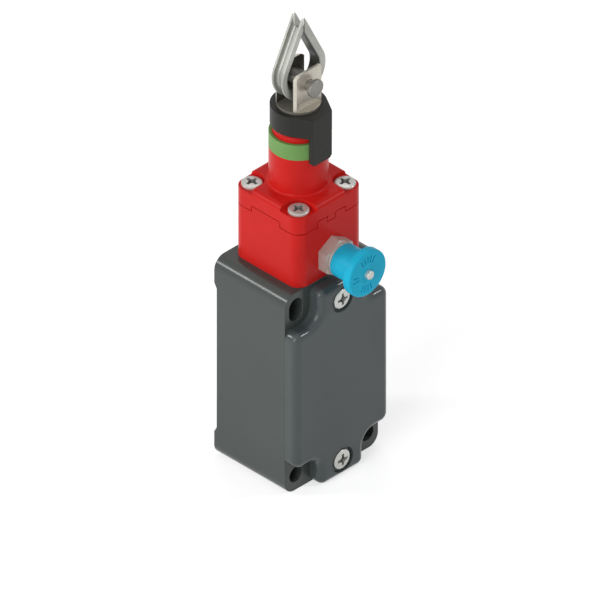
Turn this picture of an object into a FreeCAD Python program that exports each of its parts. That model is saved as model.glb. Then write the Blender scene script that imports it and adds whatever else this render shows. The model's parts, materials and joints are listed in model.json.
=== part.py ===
"""Rope pull switch: die-cast housing, red head, tension pointer, rope thimble and reset knob.

The origin is midway between the two lower fixing holes, on the mounting face. +Z is up along the
pull rod, the cover faces -Y, and all sizes are in millimetres.
"""
import FreeCAD, Part
import math
import os

from FreeCAD import Vector

# Clearances
RUNNING_FIT = 0.05
LOOSE_FIT = 0.3
SWING_FIT = 0.4

# Fixing holes and housing
FIX_SPACING_X = 30.0
FIX_SPACING_Z = 60.0
FIX_HOLE_D = 5.3
FIX_SLOT_WIDTH = 5.6
FIX_SLOT_LENGTH = 7.8
HOUSING_WIDTH = 39.3
HOUSING_DEPTH = 29.8
EDGE_BELOW_HOLES = 5.6
EDGE_ABOVE_SLOTS = 6.2
TOP_CORNER_R = 4.2
BOTTOM_CORNER_R = 4.0
CAVITY_CORNER_R = 3.0
SIDE_WALL = 3.0
BACK_WALL = 3.5
PAD_RELIEF = 1.05
PAD_ABOVE_HOLES = 3.2
PAD_BELOW_SLOTS = 2.6
PAD_SLOPE = 1.8
PAD_STEP_R = 1.0
CONDUIT_D = 18.4
CONDUIT_SETBACK = 14.5
ROD_PASSAGE_D = 12.6

# Front cover
COVER_THICKNESS = 4.8
COVER_EDGE_R = 2.4
COVER_CORNER_R = 3.0
NOTCH_SIDE = 5.85
NOTCH_RISE_LOW = 5.2
NOTCH_RISE_HIGH = 6.0
NOTCH_R = 4.8
TONGUE_CORNER_R = 2.5
TONGUE_TOP_MARGIN = 1.2
TONGUE_BOTTOM_MARGIN = 0.05
COVER_POCKET_DEPTH = 1.6
GASKET_SEAT = 2.6
GASKET_WIDTH = 1.4
GASKET_THICKNESS = 1.0
COVER_SCREW_ABOVE_HOLES = 0.2
COVER_SCREW_BELOW_SLOTS = 1.3
COVER_SCREW_PROUD = 0.1
SCREW_HEAD_D = 6.5
SCREW_HEAD_HEIGHT = 1.2
SCREW_HEAD_EDGE_R = 0.4
SCREW_SHANK_D = 3.8
COVER_SCREW_REACH = 4.4
COUNTERBORE_GAP = 1.1

# Red head
HEAD_SETBACK = 15.95
HEAD_SIZE = 27.7
HEAD_CORNER_R = 3.9
HEAD_SCREW_PITCH = 19.6
HEAD_SCREW_ENGAGEMENT = 5.0
BASE_HEIGHT = 21.2
SEAM_STEP = 1.9
SEAM_CORNER = 7.8
SEAM_GAP = 0.25
SEAM_RIM_WIDTH = 2.0
KEY_TAB_WIDTH = 3.0
CAP_HEIGHT = 5.7
SCREW_RECESS = 1.8
SCREW_RECESS_R = 3.8
CAP_EDGE_R = 1.8
TURRET_D = 18.0
TURRET_HEIGHT = 13.0
TURRET_FOOT_R = 0.8
RING_HEIGHT = 5.5
RING_WALL = 1.1
STUB_RISE = 2.0
STUB_EDGE_R = 1.2
BORE_D = 14.4
HEAD_GASKET_THICKNESS = 0.8
HEAD_GASKET_D = 22.0

# Pull rod and what it carries
PULL_TRAVEL = 8.0
ROD_D = 6.0
ROD_SPIGOT_D = 4.8
ROD_SPIGOT_LENGTH = 5.0
ROD_TAIL_D = 4.0
ROD_TAIL_LENGTH = 6.0
BUSH_D = 11.0
BUSH_LENGTH = 9.0
SEAL_THICKNESS = 1.4
SEAL_INTERIOR_GAP = 0.1
SEAT_D = 13.6
SEAT_THICKNESS = 2.0
SEAT_ABOVE_RESET = 7.0
CLIP_D = 9.0
CLIP_THICKNESS = 0.9
CLIP_GROOVE_D = 4.4
LATCH_GROOVE_D = 4.4
LATCH_GROOVE_WIDTH = 4.2
MAIN_SPRING_D = 11.6
MAIN_SPRING_WIRE = 1.3
MAIN_SPRING_TURNS = 5
INNER_SPRING_D = 8.2
INNER_SPRING_WIRE = 0.9
INNER_SPRING_TURNS = 7
SPRING_END_GAP = 0.05

# Clevis, pointer and thimble
POINTER_GAP = 2.7
POINTER_COLLAR_D = 17.3
POINTER_COLLAR_HEIGHT = 7.0
POINTER_FLAT_WIDTH = 8.3
POINTER_FLAT_REACH = 10.0
POINTER_LEG_LENGTH = 17.0
POINTER_TIP_CHAMFER = 0.9
CLEVIS_D = 13.6
CLEVIS_LEDGE = 0.7
CLEVIS_EAR_FLAT = 8.8
CLEVIS_EAR_HEIGHT = 12.9
CLEVIS_EAR_CHAMFER = 1.0
PIN_D = 3.0
PIN_COLLAR_D = 3.8
PIN_COLLAR_LENGTH = 2.0
PIN_HEAD_D = 5.9
PIN_HEAD_HEIGHT = 1.3
PIN_RIVET_HEIGHT = 0.6
PIN_RIVET_D = 4.2
PIN_BUSH_D = 5.6
THIMBLE_LOOP_R = 9.1
THIMBLE_TIP_RISE = 20.45
THIMBLE_WIDTH = 4.7
THIMBLE_DEPTH = 2.6
THIMBLE_SHEET = 0.75
THIMBLE_CORNER = 0.5
THIMBLE_TIP_GAP = 0.8
THIMBLE_SIDE_GAP = 1.1
THIMBLE_FLOOR_GAP = 2.1

# Reset knob
RESET_RISE = 7.0
RESET_TRAVEL = 4.0
SLEEVE_D = 8.0
SLEEVE_BORE_D = 6.4
SLEEVE_END_WALL = 3.6
SLEEVE_FRONT = 6.2
NUT_FLATS = 11.0
NUT_THICKNESS = 3.9
NUT_CHAMFER_SLOPE = 1.7
KNOB_GAP = 0.8
KNOB_LENGTH = 10.7
KNOB_NECK_D = 10.9
KNOB_FLANGE_D = 15.6
KNOB_FLANGE_THICKNESS = 3.0
KNOB_NECK_FILLET = 1.6
KNOB_EDGE_R = 0.7
SHAFT_D = 4.0
SHAFT_END_D = 2.8
SHAFT_END_PROUD = 1.3
BOLT_HEAD_D = 5.8
BOLT_HEAD_LENGTH = 2.0
BOLT_NOSE_D = 3.2
BOLT_NOSE_LENGTH = 2.0
RESET_SPRING_D = 5.2
RESET_SPRING_WIRE = 0.6
RESET_SPRING_TURNS = 5

# Contact unit
BLOCK_SIDE_GAP = 2.5
BLOCK_TOP_GAP = 3.0
WIRING_ROOM = 8.0
BLOCK_FRONT_GAP = 3.0
BLOCK_EDGE_R = 1.0
CARRIER_WIDTH = 8.6
CARRIER_DEPTH = 6.6
CARRIER_DROP = 26.0
BRIDGE_LENGTH = 19.0
BRIDGE_WIDTH = 3.6
BRIDGE_THICKNESS = 0.8
BRIDGE_ABOVE_CARRIER_END = 3.0
WINDOW_LENGTH = 21.0
FIXED_CONTACT_LENGTH = 4.4
FIXED_CONTACT_THICKNESS = 1.0
TERMINAL_INSET_X = 5.0
TERMINAL_INSET_Z = 6.0
TERMINAL_POCKET = 8.0
TERMINAL_POCKET_DEPTH = 6.0
TERMINAL_SCREW_D = 4.8
TERMINAL_SCREW_HEIGHT = 1.8
TERMINAL_SHANK_D = 2.6
TERMINAL_SHANK_LENGTH = 4.0
CLAMP_SIDE = 6.6
CLAMP_THICKNESS = 1.0
EARTH_SCREW_INSET = 5.0
EARTH_SHANK_LENGTH = 1.6

# Levels and places worked out from the sizes above
HEAD_Y = -HEAD_SETBACK
HOUSING_FRONT = -HOUSING_DEPTH
HOUSING_BOTTOM = -EDGE_BELOW_HOLES
HOUSING_TOP = FIX_SPACING_Z + EDGE_ABOVE_SLOTS
COVER_FRONT = HOUSING_FRONT - COVER_THICKNESS
COVER_LOW = NOTCH_RISE_LOW
COVER_HIGH = FIX_SPACING_Z - NOTCH_RISE_HIGH
TONGUE_HALF = FIX_SPACING_X / 2 - NOTCH_SIDE
CAVITY_HALF = HOUSING_WIDTH / 2 - SIDE_WALL
CAVITY_LOW = COVER_LOW + GASKET_SEAT
CAVITY_HIGH = COVER_HIGH - GASKET_SEAT
COVER_SCREW_HEIGHTS = (COVER_SCREW_ABOVE_HOLES, FIX_SPACING_Z - COVER_SCREW_BELOW_SLOTS)
COVER_SCREW_SEAT = COVER_FRONT + SCREW_HEAD_HEIGHT - COVER_SCREW_PROUD
COUNTERBORE_D = SCREW_HEAD_D + 2 * COUNTERBORE_GAP
SCREW_HOLE_D = SCREW_SHANK_D + 2 * RUNNING_FIT

BASE_TOP = HOUSING_TOP + BASE_HEIGHT
CAP_TOP = BASE_TOP + CAP_HEIGHT
TURRET_TOP = CAP_TOP + TURRET_HEIGHT
RING_TOP = TURRET_TOP + RING_HEIGHT
STUB_TOP = RING_TOP + STUB_RISE
STUB_D = TURRET_D - 2 * RING_WALL
HEAD_FRONT = HEAD_Y - HEAD_SIZE / 2
SCREW_SEAT = CAP_TOP - SCREW_RECESS
SCREW_OFFSET = HEAD_SCREW_PITCH / 2

BUSH_FOOT = STUB_TOP - SEAL_THICKNESS - BUSH_LENGTH
RESET_Z = HOUSING_TOP + RESET_RISE
SEAT_LOW = RESET_Z + SEAT_ABOVE_RESET
SEAT_TOP = SEAT_LOW + SEAT_THICKNESS
COLLAR_LOW = RING_TOP + POINTER_GAP
COLLAR_TOP = COLLAR_LOW + POINTER_COLLAR_HEIGHT
CLEVIS_TOP = COLLAR_TOP + CLEVIS_LEDGE
EAR_TOP = CLEVIS_TOP + CLEVIS_EAR_HEIGHT
SLOT_WIDTH = THIMBLE_WIDTH + 2 * THIMBLE_SIDE_GAP
LOOP_INNER_R = THIMBLE_LOOP_R - THIMBLE_DEPTH
LOOP_DROP = LOOP_INNER_R - LOOSE_FIT - PIN_BUSH_D / 2
SWING_DROP = THIMBLE_LOOP_R - LOOP_DROP
PIN_Z = CLEVIS_TOP + SWING_DROP + THIMBLE_FLOOR_GAP
LOOP_Z = PIN_Z + LOOP_DROP

NUT_FRONT = HEAD_FRONT - NUT_THICKNESS
KNOB_BACK = NUT_FRONT - KNOB_GAP
KNOB_FRONT = KNOB_BACK - KNOB_LENGTH
SLEEVE_END = HEAD_FRONT - SLEEVE_FRONT
SLEEVE_SHOULDER = SLEEVE_END + SLEEVE_END_WALL
SLEEVE_BACK = HEAD_Y - BORE_D / 2 - LOOSE_FIT
BOLT_TIP = HEAD_Y - ROD_D / 2 - SWING_FIT
BOLT_SHOULDER = BOLT_TIP - BOLT_NOSE_LENGTH
BOLT_BACK = BOLT_SHOULDER - BOLT_HEAD_LENGTH

BLOCK_HALF = CAVITY_HALF - BLOCK_SIDE_GAP
BLOCK_LOW = CAVITY_LOW + WIRING_ROOM
BLOCK_HIGH = CAVITY_HIGH - BLOCK_TOP_GAP
BLOCK_FRONT = HOUSING_FRONT + BLOCK_FRONT_GAP
CARRIER_TOP = CAVITY_HIGH
CARRIER_LOW = CARRIER_TOP - CARRIER_DROP
BRIDGE_LOW = CARRIER_LOW + BRIDGE_ABOVE_CARRIER_END
FIXED_CONTACT_TOP = BRIDGE_LOW - SWING_FIT
TERMINAL_FLOOR = BLOCK_FRONT + TERMINAL_POCKET_DEPTH
TERMINAL_HOLE_D = TERMINAL_SHANK_D + 2 * RUNNING_FIT


def box(x_range, y_range, z_range):
    """Box between the given ends on each axis."""
    low = Vector(min(x_range), min(y_range), min(z_range))
    high = Vector(max(x_range), max(y_range), max(z_range))
    size = high - low
    return Part.makeBox(size.x, size.y, size.z, low)


def upright(diameter, z_low, z_high, x=0.0, y=HEAD_Y):
    """Cylinder along Z."""
    return Part.makeCylinder(diameter / 2, z_high - z_low, Vector(x, y, z_low))


def forward(diameter, y_back, y_front, x=0.0, z=RESET_Z):
    """Cylinder along Y, from its back end to its front end."""
    return Part.makeCylinder(diameter / 2, y_back - y_front, Vector(x, y_back, z), Vector(0, -1, 0))


def rounded_face(corners, place):
    """Face with rounded corners. Each corner is (u, v, radius), and place turns u, v into a point."""
    ends = []
    for index, (u, v, radius) in enumerate(corners):
        corner = place(u, v)
        before = place(*corners[index - 1][:2])
        after = place(*corners[(index + 1) % len(corners)][:2])
        to_before = (before - corner).normalize()
        to_after = (after - corner).normalize()
        half = to_before.getAngle(to_after) / 2
        reach = radius / math.tan(half)
        bisector = (to_before + to_after).normalize()
        middle = corner + bisector * (radius / math.sin(half) - radius)
        ends.append((corner + to_before * reach, middle, corner + to_after * reach))
    edges = []
    for index, (start, middle, finish) in enumerate(ends):
        if (finish - start).Length > 1e-6:
            edges.append(Part.Arc(start, middle, finish).toShape())
        following = ends[(index + 1) % len(ends)][0]
        if (following - finish).Length > 1e-6:
            edges.append(Part.makeLine(finish, following))
    return Part.Face(Part.Wire(edges))


def on_front(u, v):
    """Point of an outline seen from the front."""
    return Vector(u, 0, v)


def on_side(u, v):
    """Point of an outline seen from the side."""
    return Vector(0, u, v)


def on_plan(u, v):
    """Point of an outline seen from above, about the head's axis."""
    return Vector(u, HEAD_Y + v, 0)


def plate(corners, y_back, y_front):
    """Outline seen from the front, with its thickness along Y."""
    face = rounded_face(corners, on_front)
    face.translate(Vector(0, y_back, 0))
    return face.extrude(Vector(0, y_front - y_back, 0))


def column(corners, z_low, z_high):
    """Outline seen from above, with its height along Z."""
    face = rounded_face(corners, on_plan)
    face.translate(Vector(0, 0, z_low))
    return face.extrude(Vector(0, 0, z_high - z_low))


def rectangle(u_half, v_low, v_high, radius):
    """Corners of a rectangle that is symmetric about u = 0."""
    low = [(-u_half, v_low, radius), (u_half, v_low, radius)]
    return low + [(u_half, v_high, radius), (-u_half, v_high, radius)]


def flat_edges(shape, axis, level):
    """Edges that lie in the plane where the axis has the given level."""
    found = []
    for edge in shape.Edges:
        bounds = edge.BoundBox
        low = getattr(bounds, axis + "Min")
        high = getattr(bounds, axis + "Max")
        if abs(low - level) < 1e-3 and abs(high - level) < 1e-3:
            found.append(edge)
    return found


def pan_screw(seat, direction, shank_length):
    """Pan-head screw whose head stands on seat and whose shank runs the other way."""
    radius = SCREW_HEAD_D / 2
    head = Part.makeCylinder(radius, SCREW_HEAD_HEIGHT, seat, direction)
    crown = [edge for edge in head.Edges if edge.isClosed()]
    crown = [edge for edge in crown if (edge.CenterOfMass - seat).Length > SCREW_HEAD_HEIGHT / 2]
    head = head.makeFillet(SCREW_HEAD_EDGE_R, crown)
    shank = Part.makeCylinder(SCREW_SHANK_D / 2, shank_length, seat, direction * -1)
    return head.fuse(shank).removeSplitter()


def coil(mean_diameter, wire, turns, start, length, direction):
    """Round-wire compression spring between two seats."""
    rise = length - wire - 2 * SPRING_END_GAP
    helix = Part.makeHelix(rise / turns, rise, mean_diameter / 2)
    circle = Part.makeCircle(wire / 2, Vector(mean_diameter / 2, 0, 0), Vector(0, 1, 0))
    spring = Part.Wire(helix.Edges).makePipeShell([Part.Wire(circle)], True, True)
    spring.Placement = FreeCAD.Placement(
        start + direction * (wire / 2 + SPRING_END_GAP), FreeCAD.Rotation(Vector(0, 0, 1), direction)
    )
    return spring


def fixing_holes():
    """Two round holes below and two upright slots above, right through the housing."""
    cutters = []
    radius = FIX_SLOT_WIDTH / 2
    slot_outline = rectangle(radius, -FIX_SLOT_LENGTH / 2, FIX_SLOT_LENGTH / 2, radius)
    for side in (-1, 1):
        x = side * FIX_SPACING_X / 2
        cutters.append(forward(FIX_HOLE_D, PAD_RELIEF, HOUSING_FRONT - PAD_RELIEF, x, 0))
        slot = plate(slot_outline, PAD_RELIEF, HOUSING_FRONT - PAD_RELIEF)
        slot.translate(Vector(x, 0, FIX_SPACING_Z))
        cutters.append(slot)
    return cutters


def pad_relief():
    """Shallow hollow across the back, between the pads round the fixing holes."""
    low = PAD_ABOVE_HOLES
    high = FIX_SPACING_Z - PAD_BELOW_SLOTS
    outline = [
        (0, low, 0),
        (-PAD_RELIEF, low + PAD_SLOPE, PAD_STEP_R),
        (-PAD_RELIEF, high - PAD_SLOPE, PAD_STEP_R),
        (0, high, 0),
    ]
    hollow = rounded_face(outline, on_side)
    hollow.translate(Vector(-HOUSING_WIDTH / 2, 0, 0))
    return hollow.extrude(Vector(HOUSING_WIDTH, 0, 0))


def head_screw_places():
    """Plan positions of the four head screws."""
    return [(sx * SCREW_OFFSET, HEAD_Y + sy * SCREW_OFFSET) for sx in (-1, 1) for sy in (-1, 1)]


def housing():
    """Die-cast box: front cavity, rod passage above, cable entry below, fixing holes and rear pads."""
    half = HOUSING_WIDTH / 2
    body = plate(
        [
            (-half, HOUSING_BOTTOM, BOTTOM_CORNER_R),
            (half, HOUSING_BOTTOM, BOTTOM_CORNER_R),
            (half, HOUSING_TOP, TOP_CORNER_R),
            (-half, HOUSING_TOP, TOP_CORNER_R),
        ],
        0,
        HOUSING_FRONT,
    )
    cavity_outline = rectangle(CAVITY_HALF, CAVITY_LOW, CAVITY_HIGH, CAVITY_CORNER_R)
    cavity = plate(cavity_outline, -BACK_WALL, HOUSING_FRONT)
    conduit = upright(CONDUIT_D, HOUSING_BOTTOM, CAVITY_LOW + SIDE_WALL, 0, -CONDUIT_SETBACK)
    passage = upright(ROD_PASSAGE_D, CAVITY_HIGH - SIDE_WALL, HOUSING_TOP)
    gasket_seat = upright(HEAD_GASKET_D + 2 * RUNNING_FIT, HOUSING_TOP - HEAD_GASKET_THICKNESS, HOUSING_TOP)
    cutters = [pad_relief(), cavity, conduit, passage, gasket_seat] + fixing_holes()
    for z in COVER_SCREW_HEIGHTS:
        cutters.append(forward(SCREW_HOLE_D, HOUSING_FRONT + COVER_SCREW_REACH, HOUSING_FRONT, 0, z))
    for x, y in head_screw_places():
        cutters.append(upright(SCREW_HOLE_D, HOUSING_TOP - HEAD_SCREW_ENGAGEMENT, HOUSING_TOP, x, y))
    earth_x, earth_z = earth_place()
    cutters.append(forward(TERMINAL_HOLE_D, EARTH_SHANK_LENGTH - BACK_WALL, -BACK_WALL, earth_x, earth_z))
    return body.cut(cutters)


def earth_place():
    """Front-view position of the earth screw, low in a corner of the cavity."""
    return EARTH_SCREW_INSET - CAVITY_HALF, CAVITY_LOW + WIRING_ROOM / 2


def cover_outline():
    """Corners of the cover: full width in the middle, narrower tongues between the fixing lugs."""
    half = HOUSING_WIDTH / 2
    low = HOUSING_BOTTOM + TONGUE_BOTTOM_MARGIN
    high = HOUSING_TOP - TONGUE_TOP_MARGIN
    right = [
        (TONGUE_HALF, low, TONGUE_CORNER_R),
        (TONGUE_HALF, COVER_LOW, NOTCH_R),
        (half, COVER_LOW, COVER_CORNER_R),
        (half, COVER_HIGH, COVER_CORNER_R),
        (TONGUE_HALF, COVER_HIGH, NOTCH_R),
        (TONGUE_HALF, high, TONGUE_CORNER_R),
    ]
    left = [(-u, v, radius) for u, v, radius in reversed(right)]
    return right + left


def gasket_ring(grow, thickness):
    """Solid ring in the cover's groove, grown sideways by a clearance."""
    inner = (GASKET_SEAT - GASKET_WIDTH) / 2 - grow
    outer = (GASKET_SEAT + GASKET_WIDTH) / 2 + grow
    radius = CAVITY_CORNER_R
    ring = plate(
        rectangle(CAVITY_HALF + outer, CAVITY_LOW - outer, CAVITY_HIGH + outer, radius + outer),
        HOUSING_FRONT,
        HOUSING_FRONT - thickness,
    )
    hole = plate(
        rectangle(CAVITY_HALF + inner, CAVITY_LOW - inner, CAVITY_HIGH + inner, radius + inner),
        HOUSING_FRONT,
        HOUSING_FRONT - thickness,
    )
    return ring.cut(hole)


def front_cover():
    """Cover with a rounded front edge, a gasket groove and counterbored screw holes."""
    body = plate(cover_outline(), HOUSING_FRONT, COVER_FRONT)
    body = body.makeFillet(COVER_EDGE_R, flat_edges(body, "Y", COVER_FRONT))
    pocket = plate(
        rectangle(CAVITY_HALF, CAVITY_LOW, CAVITY_HIGH, CAVITY_CORNER_R),
        HOUSING_FRONT,
        HOUSING_FRONT - COVER_POCKET_DEPTH,
    )
    cutters = [pocket, gasket_ring(RUNNING_FIT, GASKET_THICKNESS)]
    for z in COVER_SCREW_HEIGHTS:
        cutters.append(forward(COUNTERBORE_D, COVER_SCREW_SEAT, COVER_FRONT, 0, z))
        cutters.append(forward(SCREW_HOLE_D, HOUSING_FRONT, COVER_FRONT, 0, z))
    return body.cut(cutters)


def cover_gasket():
    """Rubber ring between cover and housing."""
    return gasket_ring(0, GASKET_THICKNESS)


def cover_screws():
    """Two screws that hold the cover."""
    seats = [Vector(0, COVER_SCREW_SEAT, z) for z in COVER_SCREW_HEIGHTS]
    length = HOUSING_FRONT - COVER_SCREW_SEAT + COVER_SCREW_REACH
    return Part.makeCompound([pan_screw(seat, Vector(0, -1, 0), length) for seat in seats])


def seam_corners(z_low, z_high, grow):
    """Four corner blocks below the main seam, where the cap reaches down round the screws."""
    half = HEAD_SIZE / 2
    blocks = []
    for sx in (-1, 1):
        for sy in (-1, 1):
            x_range = (sx * (half - SEAM_CORNER - grow), sx * half)
            y_range = (HEAD_Y + sy * (half - SEAM_CORNER - grow), HEAD_Y + sy * half)
            blocks.append(box(x_range, y_range, (z_low, z_high)))
    return blocks


def key_tab(z_low, z_high, grow):
    """Locating tab in the middle of the head's front edge."""
    half = KEY_TAB_WIDTH / 2 + grow
    depth = HEAD_FRONT + SEAM_RIM_WIDTH + grow
    return box((-half, half), (HEAD_FRONT, depth), (z_low, z_high))


def head_base():
    """Lower red block: bore for the rod, stepped top edge and a hole for the reset sleeve."""
    half = HEAD_SIZE / 2
    body = column(rectangle(half, -half, half, HEAD_CORNER_R), HOUSING_TOP, BASE_TOP - SEAM_GAP)
    step = BASE_TOP - SEAM_GAP - SEAM_STEP
    body = body.cut(seam_corners(step, BASE_TOP, SEAM_GAP) + [key_tab(step, BASE_TOP, SEAM_GAP)])
    rim = upright(BORE_D + 2 * SEAM_RIM_WIDTH, BASE_TOP - 2 * SEAM_GAP, BASE_TOP)
    body = body.fuse(rim)
    cutters = [upright(BORE_D, HOUSING_TOP, BASE_TOP)]
    cutters.append(forward(SLEEVE_D + 2 * RUNNING_FIT, HEAD_Y, HEAD_FRONT))
    for x, y in head_screw_places():
        cutters.append(upright(SCREW_HOLE_D, HOUSING_TOP, BASE_TOP, x, y))
    return body.cut(cutters).removeSplitter()


def screw_recess(sx, sy):
    """Corner of the cap that is cut down round one screw head and open to the outside."""
    x = sx * SCREW_OFFSET
    y = HEAD_Y + sy * SCREW_OFFSET
    reach = HEAD_SIZE / 2 - SCREW_OFFSET
    round_part = upright(2 * SCREW_RECESS_R, SCREW_SEAT, CAP_TOP, x, y)
    along_x = box((x, x + sx * reach), (y - sy * SCREW_RECESS_R, y + sy * reach), (SCREW_SEAT, CAP_TOP))
    along_y = box((x - sx * SCREW_RECESS_R, x + sx * reach), (y, y + sy * reach), (SCREW_SEAT, CAP_TOP))
    return round_part.fuse([along_x, along_y])


def head_cap():
    """Upper red block with the turret that carries the guide bush and the green ring."""
    half = HEAD_SIZE / 2
    body = column(rectangle(half, -half, half, HEAD_CORNER_R), BASE_TOP, CAP_TOP)
    body = body.makeFillet(CAP_EDGE_R, flat_edges(body, "Z", CAP_TOP))
    body = body.cut([screw_recess(sx, sy) for sx in (-1, 1) for sy in (-1, 1)])
    outline = column(rectangle(half, -half, half, HEAD_CORNER_R), BASE_TOP - SEAM_STEP, BASE_TOP)
    skirts = [outline.common(block) for block in seam_corners(BASE_TOP - SEAM_STEP, BASE_TOP, 0)]
    body = body.fuse(skirts + [key_tab(BASE_TOP - SEAM_STEP, BASE_TOP, 0)])
    turret = upright(TURRET_D, BASE_TOP, TURRET_TOP)
    stub = upright(STUB_D, BASE_TOP, STUB_TOP)
    stub = stub.makeFillet(STUB_EDGE_R, flat_edges(stub, "Z", STUB_TOP))
    body = body.fuse([turret, stub]).removeSplitter()
    foot = [edge for edge in flat_edges(body, "Z", CAP_TOP) if is_turret_edge(edge)]
    body = body.makeFillet(TURRET_FOOT_R, foot)
    cutters = [
        upright(BORE_D, BASE_TOP - SEAM_STEP, BUSH_FOOT),
        upright(BUSH_D + 2 * RUNNING_FIT, BUSH_FOOT, STUB_TOP),
    ]
    for x, y in head_screw_places():
        cutters.append(upright(SCREW_HOLE_D, BASE_TOP - SEAM_STEP, SCREW_SEAT, x, y))
    return body.cut(cutters)


def is_turret_edge(edge):
    """Whether an edge runs round the turret's own circle."""
    if not hasattr(edge.Curve, "Radius"):
        return False
    return abs(edge.Curve.Radius - TURRET_D / 2) < 1e-3


def head_screws():
    """Four screws through both red blocks into the housing."""
    length = SCREW_SEAT - HOUSING_TOP + HEAD_SCREW_ENGAGEMENT
    seats = [Vector(x, y, SCREW_SEAT) for x, y in head_screw_places()]
    return Part.makeCompound([pan_screw(seat, Vector(0, 0, 1), length) for seat in seats])


def head_gasket():
    """Flat rubber ring between head and housing."""
    ring = upright(HEAD_GASKET_D, HOUSING_TOP - HEAD_GASKET_THICKNESS, HOUSING_TOP)
    return ring.cut(upright(BORE_D, HOUSING_TOP - HEAD_GASKET_THICKNESS, HOUSING_TOP))


def indicator_ring():
    """Green ring that shows the range of right rope tension."""
    ring = upright(TURRET_D, TURRET_TOP, RING_TOP)
    return ring.cut(upright(STUB_D + 2 * RUNNING_FIT, TURRET_TOP, RING_TOP))


def guide_bush():
    """Plain bush that guides the pull rod at the top of the turret."""
    bush = upright(BUSH_D, BUSH_FOOT, BUSH_FOOT + BUSH_LENGTH)
    return bush.cut(upright(ROD_D + 2 * RUNNING_FIT, BUSH_FOOT, BUSH_FOOT + BUSH_LENGTH))


def rod_seal():
    """Wiper ring above the bush."""
    ring = upright(BUSH_D, STUB_TOP - SEAL_THICKNESS, STUB_TOP)
    return ring.cut(upright(ROD_D + 2 * SEAL_INTERIOR_GAP, STUB_TOP - SEAL_THICKNESS, STUB_TOP))


def pull_rod():
    """Round rod with a latch groove, a clip groove and a spigot at each end."""
    rod = upright(ROD_D, CARRIER_TOP, COLLAR_LOW)
    spigot = upright(ROD_SPIGOT_D, COLLAR_LOW, COLLAR_LOW + ROD_SPIGOT_LENGTH)
    tail = upright(ROD_TAIL_D, CARRIER_TOP - ROD_TAIL_LENGTH, CARRIER_TOP)
    latch_z = RESET_Z - PULL_TRAVEL
    grooves = [
        ring_cut(ROD_D, LATCH_GROOVE_D, latch_z - LATCH_GROOVE_WIDTH / 2, latch_z + LATCH_GROOVE_WIDTH / 2),
        ring_cut(ROD_D, CLIP_GROOVE_D, SEAT_LOW - CLIP_THICKNESS, SEAT_LOW),
    ]
    return rod.fuse([spigot, tail]).cut(grooves).removeSplitter()


def ring_cut(outer, inner, z_low, z_high):
    """Tube used to turn a groove into the rod."""
    return upright(outer, z_low, z_high).cut(upright(inner, z_low, z_high))


def spring_seat():
    """Disc on the rod that both springs push on."""
    disc = upright(SEAT_D, SEAT_LOW, SEAT_TOP)
    return disc.cut(upright(ROD_D + 2 * RUNNING_FIT, SEAT_LOW, SEAT_TOP))


def seat_clip():
    """Open retaining clip in the rod's groove, below the spring seat."""
    clip = upright(CLIP_D, SEAT_LOW - CLIP_THICKNESS, SEAT_LOW)
    clip = clip.cut(upright(CLIP_GROOVE_D + 2 * RUNNING_FIT, SEAT_LOW - CLIP_THICKNESS, SEAT_LOW))
    half = CLIP_GROOVE_D * 0.4
    mouth = box((-half, half), (HEAD_Y, HEAD_Y + CLIP_D), (SEAT_LOW - CLIP_THICKNESS, SEAT_LOW))
    return clip.cut(mouth)


def rod_coil(mean_diameter, wire, turns):
    """Spring round the rod, from the seat up to the guide bush."""
    start = Vector(0, HEAD_Y, SEAT_TOP)
    return coil(mean_diameter, wire, turns, start, BUSH_FOOT - SEAT_TOP, Vector(0, 0, 1))


def main_spring():
    """Outer return spring between the seat and the guide bush."""
    return rod_coil(MAIN_SPRING_D, MAIN_SPRING_WIRE, MAIN_SPRING_TURNS)


def inner_spring():
    """Inner return spring, inside the outer one."""
    return rod_coil(INNER_SPRING_D, INNER_SPRING_WIRE, INNER_SPRING_TURNS)


def pointer_outline():
    """Plan of the pointer's flat front, joined to the round collar by slanted sides."""
    flat = POINTER_FLAT_WIDTH / 2
    radius = POINTER_COLLAR_D / 2
    reach = POINTER_FLAT_REACH
    distance = math.hypot(flat, reach)
    lean = math.atan2(reach, flat) - math.acos(radius / distance)
    side = (radius * math.cos(lean), -radius * math.sin(lean))
    corners = [(-flat, -reach), (flat, -reach), side, (0, 0), (-side[0], side[1])]
    return [(u, v, 0) for u, v in corners]


def pointer_leg():
    """Leg below the collar, bent round the turret, with both lower corners cut off at 45 degrees."""
    low = COLLAR_TOP - POINTER_LEG_LENGTH
    wide = POINTER_FLAT_WIDTH / 2
    cut = POINTER_TIP_CHAMFER
    right = [(wide - cut, low, 0), (wide, low + cut, 0), (wide, COLLAR_LOW, 0)]
    left = [(-u, v, 0) for u, v, _ in reversed(right)]
    leg = plate(right + left, HEAD_Y, HEAD_Y - POINTER_FLAT_REACH)
    return leg.cut(upright(TURRET_D + 2 * SWING_FIT, low, COLLAR_LOW))


def tension_pointer():
    """Black collar on the clevis, with a leg that reaches down over the green ring."""
    collar = upright(POINTER_COLLAR_D, COLLAR_LOW, COLLAR_TOP)
    nose = column(pointer_outline(), COLLAR_LOW, COLLAR_TOP)
    body = collar.fuse([nose, pointer_leg()]).removeSplitter()
    return body.cut(upright(CLEVIS_D + 2 * RUNNING_FIT, COLLAR_LOW, COLLAR_TOP))


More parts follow.
